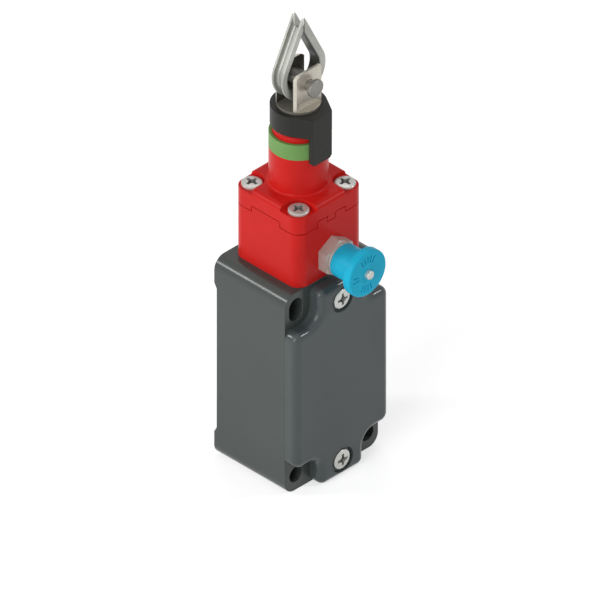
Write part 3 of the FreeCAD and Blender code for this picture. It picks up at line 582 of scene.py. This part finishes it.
class Maker:
    """Turns bmesh work into finished objects.

    Attributes:
        SMOOTH_ANGLE: Edges sharper than this stay sharp in shading.
        MERGE: Distance within which points made here are one.
        CLOSE: Distance within which CAD points are one, or a point is on a ring.
        EDGE_STEPS: Steps of a rounded edge.
        ROUND: Profile of an edge that is rounded to an arc.
        FLAT_WEIGHT: How strongly large faces keep their own shading.
    """

    SMOOTH_ANGLE = math.radians(32)
    MERGE = 0.001 * MM
    CLOSE = 0.002 * MM
    EDGE_STEPS = 3
    ROUND = 0.5
    FLAT_WEIGHT = 100

    @classmethod
    def finish(cls, bm: bmesh.types.BMesh, name: str) -> bpy.types.Object:
        """Closes a bmesh into a smooth-shaded object at the origin.

        Args:
            bm: Mesh to use up.
            name: Name of the piece.

        Returns:
            The new object.
        """
        bmesh.ops.remove_doubles(bm, verts=bm.verts, dist=cls.MERGE)
        bmesh.ops.recalc_face_normals(bm, faces=bm.faces)
        mesh = bpy.data.meshes.new(name)
        bm.to_mesh(mesh)
        bm.free()
        piece = bpy.data.objects.new(name, mesh)
        bpy.context.scene.collection.objects.link(piece)
        cls.smooth(mesh)
        return piece

    @classmethod
    def smooth(cls, mesh: bpy.types.Mesh) -> None:
        """Smooth shading with sharp edges kept."""
        mesh.shade_smooth()
        mesh.set_sharp_from_angle(angle=cls.SMOOTH_ANGLE)

    @staticmethod
    def settle(piece: bpy.types.Object) -> None:
        """Applies a piece's modifiers to its mesh.

        Args:
            piece: Piece to settle.
        """
        bpy.context.view_layer.update()
        evaluated = piece.evaluated_get(bpy.context.evaluated_depsgraph_get())
        mesh = bpy.data.meshes.new_from_object(evaluated)
        piece.modifiers.clear()
        piece.data = mesh

    @classmethod
    def soften(cls, piece: bpy.types.Object, width: float, angle: float) -> None:
        """Rounds a piece's sharp edges and keeps its flats flat.

        Args:
            piece: Piece to round.
            width: Size of the rounding, in metres.
            angle: Smallest angle of an edge that is rounded.
        """
        cls.smooth(piece.data)
        bevel = piece.modifiers.new("edges", "BEVEL")
        bevel.width = width
        bevel.segments = cls.EDGE_STEPS
        bevel.limit_method = "ANGLE"
        bevel.angle_limit = angle
        bevel.use_clamp_overlap = True
        flats = piece.modifiers.new("flats", "WEIGHTED_NORMAL")
        flats.keep_sharp = True
        flats.weight = cls.FLAT_WEIGHT
        cls.settle(piece)

    @classmethod
    def carve(cls, piece: bpy.types.Object, cutters: Sequence[bpy.types.Object]) -> None:
        """Cuts the cutters out of a piece and removes them.

        Args:
            piece: Piece to cut.
            cutters: Cutters; what they cut takes their materials.
        """
        for cutter in cutters:
            cut = piece.modifiers.new("cut", "BOOLEAN")
            cut.operation = "DIFFERENCE"
            cut.solver = "EXACT"
            cut.material_mode = "TRANSFER"
            cut.object = cutter
        cls.settle(piece)
        cls.smooth(piece.data)
        for cutter in cutters:
            bpy.data.objects.remove(cutter)

    @classmethod
    def lathe(cls, profile: Sequence[tuple[float, float]], steps: int) -> bmesh.types.BMesh:
        """Turns a profile of (radius, height) points round the Z axis.

        Args:
            profile: Points from one end of the axis to the other, in metres.
            steps: Facets round the axis.

        Returns:
            The turned mesh.
        """
        bm = bmesh.new()
        chain = [bm.verts.new((radius, 0, height)) for radius, height in profile]
        edges = [bm.edges.new(pair) for pair in zip(chain, chain[1:])]
        bmesh.ops.spin(bm, geom=chain + edges, cent=(0, 0, 0), axis=(0, 0, 1), dvec=(0, 0, 0),
                       angle=math.tau, steps=steps, use_merge=True)
        bmesh.ops.remove_doubles(bm, verts=bm.verts, dist=cls.MERGE)
        bmesh.ops.recalc_face_normals(bm, faces=bm.faces)
        return bm

    @classmethod
    def round_ring(cls, bm: bmesh.types.BMesh, radius: float, height: float, offset: float,
                   segments: int) -> None:
        """Rounds the edge ring of a turned mesh.

        Args:
            bm: Turned mesh about the Z axis.
            radius: Radius of the ring.
            height: Height of the ring.
            offset: Size of the rounding.
            segments: Steps of the rounding.
        """
        ring = []
        for edge in bm.edges:
            off = [max(abs(v.co.z - height), abs(v.co.xy.length - radius)) for v in edge.verts]
            if max(off) < cls.CLOSE:
                ring.append(edge)
        bmesh.ops.bevel(bm, geom=ring, offset=offset, offset_type="OFFSET", affect="EDGES",
                        segments=segments, profile=cls.ROUND, material=-1, clamp_overlap=True)

    @staticmethod
    def everything(bm: bmesh.types.BMesh) -> list[Any]:
        """All points, edges and faces of a mesh."""
        return list(bm.verts) + list(bm.edges) + list(bm.faces)

    @staticmethod
    def aim(bm: bmesh.types.BMesh, place: Vector, axis: Axis) -> None:
        """Turns a mesh made along +Z to an axis and moves its origin into place."""
        swing = Axis.UP.value.rotation_difference(axis.value).to_matrix().to_4x4()
        bmesh.ops.transform(bm, matrix=Matrix.Translation(place) @ swing, verts=bm.verts)


@dataclass
class SoftEdges:
    """Copies of CAD nodes whose sharp edges are slightly rounded, as on real castings and mouldings.

    Attributes:
        palette: Materials to use.
        widths: Rounding of each node, in millimetres.
        coats: Nodes whose material differs from that of their slot.
        angle: Smallest angle of an edge that is rounded.
        flat: Largest angle between facets that are joined to one face.
    """

    palette: Palette
    widths: dict[str, float] = field(default_factory=lambda: {
        "housing": 0.3, "front_cover": 0.2, "head_base": 0.15, "head_cap": 0.15, "tension_pointer": 0.15,
        "clevis": 0.15, "clevis_pin": 0.15, "pin_bush": 0.2, "reset_nut": 0.15, "reset_shaft": 0.6,
        "indicator_ring": 0.12,
    })
    coats: dict[str, str] = field(default_factory=lambda: {
        "clevis": "fork_steel", "clevis_pin": "pin_steel", "pin_bush": "dark_steel",
        "reset_nut": "nut_steel", "reset_shaft": "plated_steel",
    })
    angle: float = math.radians(28)
    flat: float = math.radians(0.6)

    def build(self) -> list[bpy.types.Object]:
        """Makes all the copies."""
        return [self.copy(node, width) for node, width in self.widths.items()]

    def copy(self, node: str, width: float) -> bpy.types.Object:
        """Makes one copy that stands for its node.

        Args:
            node: CAD node.
            width: Rounding in millimetres.

        Returns:
            The new piece.
        """
        bm = bmesh.new()
        bm.from_mesh(frame["nodes"][node].data)
        bmesh.ops.remove_doubles(bm, verts=bm.verts, dist=Maker.CLOSE)
        bmesh.ops.dissolve_limit(bm, angle_limit=self.flat, verts=bm.verts, edges=bm.edges)
        mesh = bpy.data.meshes.new(node + "_shell")
        bm.to_mesh(mesh)
        bm.free()
        piece = bpy.data.objects.new(node + "_shell", mesh)
        bpy.context.scene.collection.objects.link(piece)
        Maker.soften(piece, width * MM, self.angle)
        self.palette.stand_in(piece, node, self.coats.get(node, self.palette.slot_of[node]))
        return piece


@dataclass
class ReturnSprings:
    """Coils copied from the springs' CAD meshes; the shortening worked out from each slide's travel is not
    applied.

    Attributes:
        palette: Materials to use.
        slides: Joint that presses each spring.
    """

    palette: Palette
    slides: dict[str, str] = field(default_factory=lambda: {
        "main_spring": "rod_slide", "inner_spring": "rod_slide", "reset_spring": "reset_slide",
    })

    def build(self) -> list[bpy.types.Object]:
        """Makes all the coils."""
        return [self.coil(node, slide) for node, slide in self.slides.items()]

    def coil(self, node: str, slide: str) -> bpy.types.Object:
        """Makes one coil that stands for its node.

        Args:
            node: CAD node.
            slide: Joint that presses it.

        Returns:
            The new piece.
        """
        bm = bmesh.new()
        bm.from_mesh(frame["nodes"][node].data)
        piece = Maker.finish(bm, node + "_coil")
        self.palette.stand_in(piece, node)
        joint = next(item for item in frame["joints"] if item["name"] == slide)
        axis, travel = Vector(joint["axis"]), joint["range_m"][1]
        low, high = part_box(node)
        length = abs((high - low).dot(axis))
        1 - travel / length
        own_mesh(piece)
        return piece


@dataclass
class CrossScrews:
    """Pan-head screws with a cross recess, in place of a group of plain ones.

    Attributes:
        palette: Materials to use.
        node: CAD node they stand for.
        axis: Where their heads point.
        head_radius: Radius of the head, over its rim.
        head_height: Height of the crown above the bearing face.
        rim_height: Height of the straight rim.
        rim_edge: Rounding of the rim's lower edge, and its steps.
        crown_steps: Steps of the crown from rim to middle.
        crown_powers: How square the crown is across and upwards; 1 and 1 make an ellipse.
        facets: Facets round the screw.
        shank_radius: Radius of the shank.
        recess_reach: Reach of each arm of the recess from the middle.
        recess_width: Width of an arm.
        recess_depth: Depth of the recess.
        recess_floor: Size of the recess's floor along, across and down, as shares of its mouth.
        core_half: Half the side of the square pit where the arms meet.
        arm_turns, core_turn: Directions of the arms and of the pit, in degrees.
        coats: Materials of the screw and of its recess; the recess's darker steel is painted shade.
    """

    palette: Palette
    node: str
    axis: Axis
    head_radius: float = 3.25 * MM
    head_height: float = 1.2 * MM
    rim_height: float = 0.75 * MM
    rim_edge: tuple[float, int] = (0.15 * MM, 2)
    crown_steps: int = 6
    crown_powers: tuple[float, float] = (0.72, 1.1)
    facets: int = 64
    shank_radius: float = 1.9 * MM
    recess_reach: float = 2.9 * MM
    recess_width: float = 1.1 * MM
    recess_depth: float = 1.9 * MM
    recess_floor: tuple[float, float, float] = (0.45, 0.7, 1.0)
    core_half: float = 1.35 * MM
    arm_turns: tuple[float, float] = (0, 90)
    core_turn: float = 45
    coats: tuple[str, str] = ("plated_steel", "recess_shade_steel")

    def seats(self) -> list[Vector]:
        """Middle of the bearing face of each head.

        Returns:
            One point for each screw.
        """
        low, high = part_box(self.node)
        inset = Vector((1, 1, 1)) * self.head_radius
        near, far = low + inset, high - inset
        if self.axis is Axis.UP:
            bearing = high.z - self.head_height
            return [Vector((x, y, bearing)) for x in (near.x, far.x) for y in (near.y, far.y)]
        bearing = low.y + self.head_height
        middle = (low.x + high.x) / 2
        return [Vector((middle, bearing, z)) for z in (near.z, far.z)]

    def length(self) -> float:
        """Length of the shank below the head."""
        low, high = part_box(self.node)
        return abs((high - low).dot(self.axis.value)) - self.head_height

    def blank(self) -> bpy.types.Object:
        """Screw without its recess, at the origin.

        Returns:
            The turned blank.
        """
        end = -self.length()
        profile = [
            (0, end), (self.shank_radius, end), (self.shank_radius, 0),
            (self.head_radius, 0), (self.head_radius, self.rim_height),
        ]
        crown = self.head_height - self.rim_height
        for step in range(1, self.crown_steps):
            angle = math.pi / 2 * step / self.crown_steps
            radius = self.head_radius * math.cos(angle) ** self.crown_powers[0]
            profile.append((radius, self.rim_height + crown * math.sin(angle) ** self.crown_powers[1]))
        profile.append((0, self.head_height))
        bm = Maker.lathe(profile, self.facets)
        Maker.round_ring(bm, self.head_radius, 0, *self.rim_edge)
        piece = Maker.finish(bm, self.node + "_blank")
        self.palette.coat(piece, self.coats[0])
        return piece

    def cutter(self, turn: float, reach: float, width: float) -> bpy.types.Object:
        """One bar of the recess, narrower at its floor.

        Args:
            turn: Direction of the bar, in degrees.
            reach: Reach of the bar from the middle.
            width: Width of the bar.

        Returns:
            The cutter.
        """
        bm = bmesh.new()
        bmesh.ops.create_cube(bm, size=1.0)
        size = (2 * reach, width, 2 * self.recess_depth)
        bmesh.ops.scale(bm, vec=size, verts=bm.verts)
        floor = [v for v in bm.verts if v.co.z < 0]
        bmesh.ops.scale(bm, vec=self.recess_floor, verts=floor)
        bmesh.ops.translate(bm, vec=(0, 0, self.head_height), verts=bm.verts)
        swing = Matrix.Rotation(math.radians(turn), 3, "Z")
        bmesh.ops.rotate(bm, cent=(0, 0, 0), matrix=swing, verts=bm.verts)
        piece = Maker.finish(bm, "recess_cutter")
        # The faces that this cuts take the darker steel, as painted shade in the recess
        self.palette.coat(piece, self.coats[1])
        return piece

    def build(self) -> bpy.types.Object:
        """Carves one screw and repeats it on every seat.

        Returns:
            The group of screws.
        """
        blank = self.blank()
        arms = [self.cutter(turn, self.recess_reach, self.recess_width) for turn in self.arm_turns]
        Maker.carve(blank, arms + [self.cutter(self.core_turn, self.core_half, 2 * self.core_half)])
        group = bmesh.new()
        for seat in self.seats():
            single = bmesh.new()
            single.from_mesh(blank.data)
            Maker.aim(single, seat, self.axis)
            placed = bpy.data.meshes.new("placed")
            single.to_mesh(placed)
            single.free()
            group.from_mesh(placed)
            bpy.data.meshes.remove(placed)
        bpy.data.objects.remove(blank)
        piece = Maker.finish(group, self.node + "_cross")
        self.palette.stand_in(piece, self.node, *self.coats)
        return piece


@dataclass
class RopeThimble:
    """Steel channel with rounded corners, bent to a teardrop.

    Attributes:
        palette: Materials to use.
        loop_radius: Radius of the rims round the bend.
        width: Width over the rims.
        depth: Height of the rims over the floor, measured outside.
        sheet: Thickness of the steel.
        corner: Radius between side and floor.
        corner_steps: Steps of that corner.
        tip_rise: Height of the meeting point of the rim lines above the bend's centre.
        tip_gap: Slit between the two legs.
        bend_steps: Steps of half the bend.
        seam: Distance within which points of the two halves are one.
        edge: Rounding of the rims.
        edge_angle: Smallest angle of an edge that is rounded.
    """

    palette: Palette
    loop_radius: float = LOOP_RADIUS
    width: float = 4.7 * MM
    depth: float = CHANNEL_DEPTH
    sheet: float = 0.75 * MM
    corner: float = 0.85 * MM
    corner_steps: int = 4
    tip_rise: float = TIP_RISE
    tip_gap: float = 0.8 * MM
    bend_steps: int = 40
    seam: float = 0.01 * MM
    edge: float = 0.15 * MM
    edge_angle: float = math.radians(50)

    def centre(self) -> Vector:
        """Centre of the bend."""
        low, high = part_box("rope_thimble")
        return Vector(((low.x + high.x) / 2, (low.y + high.y) / 2, low.z + self.loop_radius))

    def side(self, half_width: float, depth: float) -> list[tuple[float, float]]:
        """One side of the channel, from its rim round the corner to the floor.

        Args:
            half_width: Distance of the side from the middle.
            depth: Depth of the floor below the rims.

        Returns:
            Points as (across the channel, below the rims).
        """
        points = [(half_width, 0.0)]
        for step in range(self.corner_steps + 1):
            angle = math.pi / 2 * step / self.corner_steps
            across = half_width - self.corner * (1 - math.cos(angle))
            points.append((across, depth - self.corner * (1 - math.sin(angle))))
        return points

    def outline(self) -> list[tuple[float, float]]:
        """Closed cross-section of the sheet.

        Returns:
            Points as (across the channel, below the rims).
        """
        outer = self.side(self.width / 2, self.depth)
        inner = self.side(self.width / 2 - self.sheet, self.depth - self.sheet)
        far = [(-across, below) for across, below in reversed(outer)]
        back = [(-across, below) for across, below in inner]
        return outer + far + back + inner[::-1]

    def section(self, bm: bmesh.types.BMesh) -> list[Any]:
        """Ring of edges round the cross-section, at the right side of the bend.

        Args:
            bm: Mesh to add to.

        Returns:
            Its vertices and edges.
        """
        ring = [bm.verts.new((self.loop_radius - below, across, 0)) for across, below in self.outline()]
        edges = [bm.edges.new(pair) for pair in zip(ring, ring[1:] + ring[:1])]
        return ring + edges

    def half_loop(self) -> bmesh.types.BMesh:
        """Right leg with half the bend, about the bend's centre.

        Returns:
            The half, cut off at the slit.
        """
        lean = math.asin(self.loop_radius / self.tip_rise)
        leg = math.sqrt(self.tip_rise ** 2 - self.loop_radius ** 2)
        bm = bmesh.new()
        ring = self.section(bm)
        bmesh.ops.rotate(bm, cent=(0, 0, 0), matrix=Matrix.Rotation(-lean, 3, "Y"), verts=bm.verts)
        edges = [part for part in ring if isinstance(part, bmesh.types.BMEdge)]
        grown = bmesh.ops.extrude_edge_only(bm, edges=edges)["geom"]
        tip = [part for part in grown if isinstance(part, bmesh.types.BMVert)]
        along = Vector((-math.sin(lean), 0, math.cos(lean))) * leg
        bmesh.ops.translate(bm, vec=along, verts=tip)
        bmesh.ops.spin(bm, geom=ring, cent=(0, 0, 0), axis=(0, 1, 0), dvec=(0, 0, 0),
                       angle=math.pi / 2 + lean, steps=self.bend_steps, use_merge=False)
        self.trim_tip(bm)
        return bm

    def build(self) -> bpy.types.Object:
        """Mirrors half the loop and sets it in place.

        Returns:
            The thimble.
        """
        bm = self.half_loop()
        bmesh.ops.mirror(bm, geom=Maker.everything(bm), axis="X", merge_dist=self.seam)
        bmesh.ops.translate(bm, vec=self.centre(), verts=bm.verts)
        piece = Maker.finish(bm, "thimble_channel")
        Maker.soften(piece, self.edge, self.edge_angle)
        self.palette.stand_in(piece, "rope_thimble", "thimble_steel")
        return piece

    def trim_tip(self, bm: bmesh.types.BMesh) -> None:
        """Cuts the leg off at the slit and closes its end.

        Args:
            bm: Half of the loop.
        """
        slit = self.tip_gap / 2
        bmesh.ops.bisect_plane(bm, geom=Maker.everything(bm), plane_co=(slit, 0, 0), plane_no=(1, 0, 0),
                               clear_inner=False, clear_outer=False)
        middles = [(face, face.calc_center_median()) for face in bm.faces]
        gone = [face for face, middle in middles if middle.x < slit and middle.z > 0]
        bmesh.ops.delete(bm, geom=gone, context="FACES")
        rim = [e for e in bm.edges if e.is_boundary and all(v.co.z > 0 for v in e.verts)]
        bmesh.ops.edgeloop_fill(bm, edges=rim)


@dataclass
class NutCollar:
    """Round washer face in front of the reset nut, close behind the knob.

    Attributes:
        palette: Materials to use.
        radius: Radius of its rim.
        bore: Radius of the hole round the sleeve.
        gap: Clearance to the knob.
        edge: Rounding of the rim, and its steps.
        facets: Facets round the collar.
    """

    palette: Palette
    radius: float = 5.25 * MM
    bore: float = 4.05 * MM
    gap: float = 0.15 * MM
    edge: tuple[float, int] = (0.15 * MM, 3)
    facets: int = 128

    def build(self) -> bpy.types.Object:
        """Turns the collar and sets it on the nut.

        Returns:
            The collar.
        """
        low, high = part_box("reset_nut")
        height = low.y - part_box("reset_knob")[1].y - self.gap
        rim = [(self.radius, 0), (self.radius, height)]
        bm = Maker.lathe([(self.bore, 0), *rim, (self.bore, height), (self.bore, 0)], self.facets)
        Maker.round_ring(bm, self.radius, height, *self.edge)
        Maker.aim(bm, Vector(((low.x + high.x) / 2, low.y, (low.z + high.z) / 2)), Axis.FRONT)
        piece = Maker.finish(bm, "reset_nut_collar")
        self.palette.coat(piece, "nut_steel")
        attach(piece, frame["nodes"]["reset_nut"]["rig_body"])
        return piece


@dataclass
class ResetKnob:
    """Blue pull knob with engraved strokes in its face.

    Attributes:
        palette: Materials to use.
        neck_radius: Radius of the neck behind the flange.
        flange_thickness: Thickness of the flange.
        fillet: Rounding between neck and flange, and its steps.
        front_edge, back_edge: Roundings of the flange's rim, and their steps.
        neck_edge: Rounding of the neck's end, and its steps.
        facets: Facets round the knob.
        well_radius: Radius of the hollow that clears the sleeve.
        well_depth: Depth of that hollow.
        hole_radius: Radius of the hole for the shaft.
        mark_inner, mark_outer: Radii between which the strokes run.
        mark_width: Width of a stroke.
        mark_depth: Depth of a stroke.
        mark_angles: Directions of the strokes, in degrees.
    """

    palette: Palette
    neck_radius: float = 5.45 * MM
    flange_thickness: float = 3.0 * MM
    fillet: tuple[float, int] = (1.6 * MM, 6)
    front_edge: tuple[float, int] = (0.7 * MM, 5)
    back_edge: tuple[float, int] = (0.35 * MM, 3)
    neck_edge: tuple[float, int] = (0.3 * MM, 3)
    facets: int = 128
    well_radius: float = 4.3 * MM
    well_depth: float = 2.0 * MM
    hole_radius: float = 1.45 * MM
    mark_inner: float = 3.9 * MM
    mark_outer: float = 6.2 * MM
    mark_width: float = 0.42 * MM
    mark_depth: float = 0.3 * MM
    mark_angles: Sequence[float] = (-118, -104, -90, -76, 172, 188, 62, 76, 90, 104, 118)

    def build(self) -> bpy.types.Object:
        """Turns the knob and engraves its face.

        Returns:
            The knob.
        """
        low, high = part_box("reset_knob")
        length = high.y - low.y
        radius = (high.x - low.x) / 2
        centre = Vector(((low.x + high.x) / 2, high.y, (low.z + high.z) / 2))
        step = length - self.flange_thickness
        profile = [
            (self.hole_radius, length), (radius, length), (radius, step), (self.neck_radius, step),
            (self.neck_radius, 0), (self.well_radius, 0), (self.well_radius, self.well_depth),
            (self.hole_radius, self.well_depth), (self.hole_radius, length),
        ]
        bm = Maker.lathe(profile, self.facets)
        Maker.round_ring(bm, self.neck_radius, step, *self.fillet)
        Maker.round_ring(bm, radius, length, *self.front_edge)
        Maker.round_ring(bm, radius, step, *self.back_edge)
        Maker.round_ring(bm, self.neck_radius, 0, *self.neck_edge)
        Maker.aim(bm, centre, Axis.FRONT)
        piece = Maker.finish(bm, "knob_turned")
        Maker.carve(piece, [self.marks(Vector((centre.x, low.y, centre.z)))])
        self.palette.stand_in(piece, "reset_knob")
        return piece

    def marks(self, face: Vector) -> bpy.types.Object:
        """Cutter for the ring of short engraved strokes.

        Args:
            face: Centre of the knob's front face.

        Returns:
            The cutter.
        """
        group = bmesh.new()
        size = (self.mark_outer - self.mark_inner, 2 * self.mark_depth, self.mark_width)
        middle = ((self.mark_inner + self.mark_outer) / 2, 0, 0)
        for angle in self.mark_angles:
            made = bmesh.ops.create_cube(group, size=1.0)["verts"]
            bmesh.ops.scale(group, vec=size, verts=made)
            bmesh.ops.translate(group, vec=middle, verts=made)
            swing = Matrix.Rotation(-math.radians(angle), 3, "Y")
            bmesh.ops.rotate(group, cent=(0, 0, 0), matrix=swing, verts=made)
        bmesh.ops.translate(group, vec=face, verts=group.verts)
        return Maker.finish(group, "mark_cutter")


@dataclass(frozen=True)
class Lamp:
    """Square soft lamp that points at the object.

    Attributes:
        name: Name of the lamp.
        place: Where it stands, in metres.
        size: Side of the square, in metres.
        power: Watts.
    """

    name: str
    place: tuple[float, float, float]
    size: float
    power: float

    def light(self, target: Vector) -> None:
        """Adds the lamp to the scene.

        Args:
            target: Point that it faces.
        """
        data = bpy.data.lights.new(self.name, "AREA")
        data.size = self.size
        data.energy = self.power
        lamp = bpy.data.objects.new(self.name, data)
        bpy.context.scene.collection.objects.link(lamp)
        lamp.location = self.place
        lamp.rotation_euler = (target - lamp.location).to_track_quat("-Z", "Y").to_euler()


@dataclass
class Studio:
    """Camera, floor, white surroundings and lamps.

    Attributes:
        target: Point in the middle of the picture.
        view_width: Width of the picture at the object.
        distance: Camera distance; it does not change an orthographic picture.
        clip: Nearest and farthest distance that the camera sees.
        azimuth: Direction of the camera round the object.
        elevation: Direction of the camera above the floor.
        ambient: Strength of the white world as a light.
        floor_reach: Half the side of the floor.
        floor_drop: Gap between the floor and the housing.
        floor_greys: Darkest and lightest grey of the floor.
        floor_waves: Waves per metre of the change between them.
        floor_roughness: Roughness of the floor.
        floor_glow: Strength that the floor adds where it is seen, so that it looks white.
        lamps: The lamps.
    """

    target: Vector = field(default_factory=lambda: Vector((0.6, -15.95, 48.8)) * MM)
    view_width: float = 178.6 * MM
    distance: float = 0.8
    clip: tuple[float, float] = (0.01, 10.0)
    azimuth: float = math.radians(-45)
    elevation: float = math.radians(35.264)
    ambient: float = 0.29
    floor_reach: float = 3.0
    floor_drop: float = 0.02 * MM
    floor_greys: tuple[float, float] = (0.86, 0.9)
    floor_waves: float = 30.0
    floor_roughness: float = 0.9
    floor_glow: float = 0.53
    lamps: Sequence[Lamp] = (
        Lamp("key", (-0.64, -0.16, 0.34), 0.45, 2.2),
        Lamp("top", (0.25, 0.25, 0.70), 0.30, 0.3),
        Lamp("rim_left", (-0.54, 0.46, 0.42), 0.15, 1.2),
        Lamp("rim_front", (0.46, -0.48, 0.51), 0.09, 1.0),
    )

    def build(self) -> None:
        """Sets up everything around the object."""
        scene = bpy.context.scene
        scene.view_settings.view_transform = "Standard"
        self.camera()
        self.floor()
        self.world()
        for lamp in self.lamps:
            lamp.light(self.target)

    def camera(self) -> None:
        """Orthographic camera at the photograph's viewing angle."""
        data = bpy.data.cameras.new("camera")
        data.type = "ORTHO"
        data.ortho_scale = self.view_width
        data.clip_start, data.clip_end = self.clip
        camera = bpy.data.objects.new("camera", data)
        bpy.context.scene.collection.objects.link(camera)
        round_about = Vector((math.sin(self.azimuth), -math.cos(self.azimuth), 0))
        toward = round_about * math.cos(self.elevation) + Axis.UP.value * math.sin(self.elevation)
        camera.location = self.target + toward * self.distance
        camera.rotation_euler = (-toward).to_track_quat("-Z", "Y").to_euler()
        bpy.context.scene.camera = camera

    def floor(self) -> None:
        """White floor under the housing that keeps a faint shadow."""
        bm = bmesh.new()
        bmesh.ops.create_grid(bm, x_segments=1, y_segments=1, size=self.floor_reach)
        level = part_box("housing")[0].z - self.floor_drop
        bmesh.ops.translate(bm, vec=(0, 0, level), verts=bm.verts)
        floor = Maker.finish(bm, "floor")
        graph = Surface("floor_paper")
        dark, light = (shade(WHITE, grey) for grey in self.floor_greys)
        mottled = graph.mix(graph.noise(self.floor_waves), dark, light)
        graph.set(Base_Color=mottled, Roughness=self.floor_roughness)
        glow = graph.signal("ShaderNodeEmission", inputs={"Color": WHITE, "Strength": self.floor_glow})
        bright = graph.signal("ShaderNodeAddShader", inputs={0: graph.shaded(), 1: glow})
        mixed = {0: graph.seen_directly(), 1: graph.shaded(), 2: bright}
        graph.feed(graph.end.inputs["Surface"], graph.signal("ShaderNodeMixShader", inputs=mixed))
        floor.data.materials.append(graph.material)

    def world(self) -> None:
        """White where it is seen directly, softer where it only lights the object."""
        world = bpy.data.worlds.new("studio_white")
        bpy.context.scene.world = world
        world.use_nodes = True
        graph = Graph(world.node_tree)
        soft = graph.signal("ShaderNodeBackground", inputs={"Color": WHITE, "Strength": self.ambient})
        white = graph.signal("ShaderNodeBackground", inputs={"Color": WHITE, "Strength": 1.0})
        blend = graph.signal("ShaderNodeMixShader", inputs={0: graph.seen_directly(), 1: soft, 2: white})
        graph.node("ShaderNodeOutputWorld", inputs={"Surface": blend})


def main() -> None:
    """Dresses the part and sets up the studio."""
    logging.basicConfig(level=logging.INFO, format="%(name)s: %(message)s")
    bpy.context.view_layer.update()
    palette = Palette()
    palette.coat_nodes()
    pieces = SoftEdges(palette).build() + ReturnSprings(palette).build()
    pieces.append(CrossScrews(palette, "head_screws", Axis.UP).build())
    pieces.append(CrossScrews(palette, "cover_screws", Axis.FRONT).build())
    pieces.append(RopeThimble(palette).build())
    pieces.append(NutCollar(palette).build())
    pieces.append(ResetKnob(palette).build())
    Studio().build()


if __name__ == "__main__":
    main()
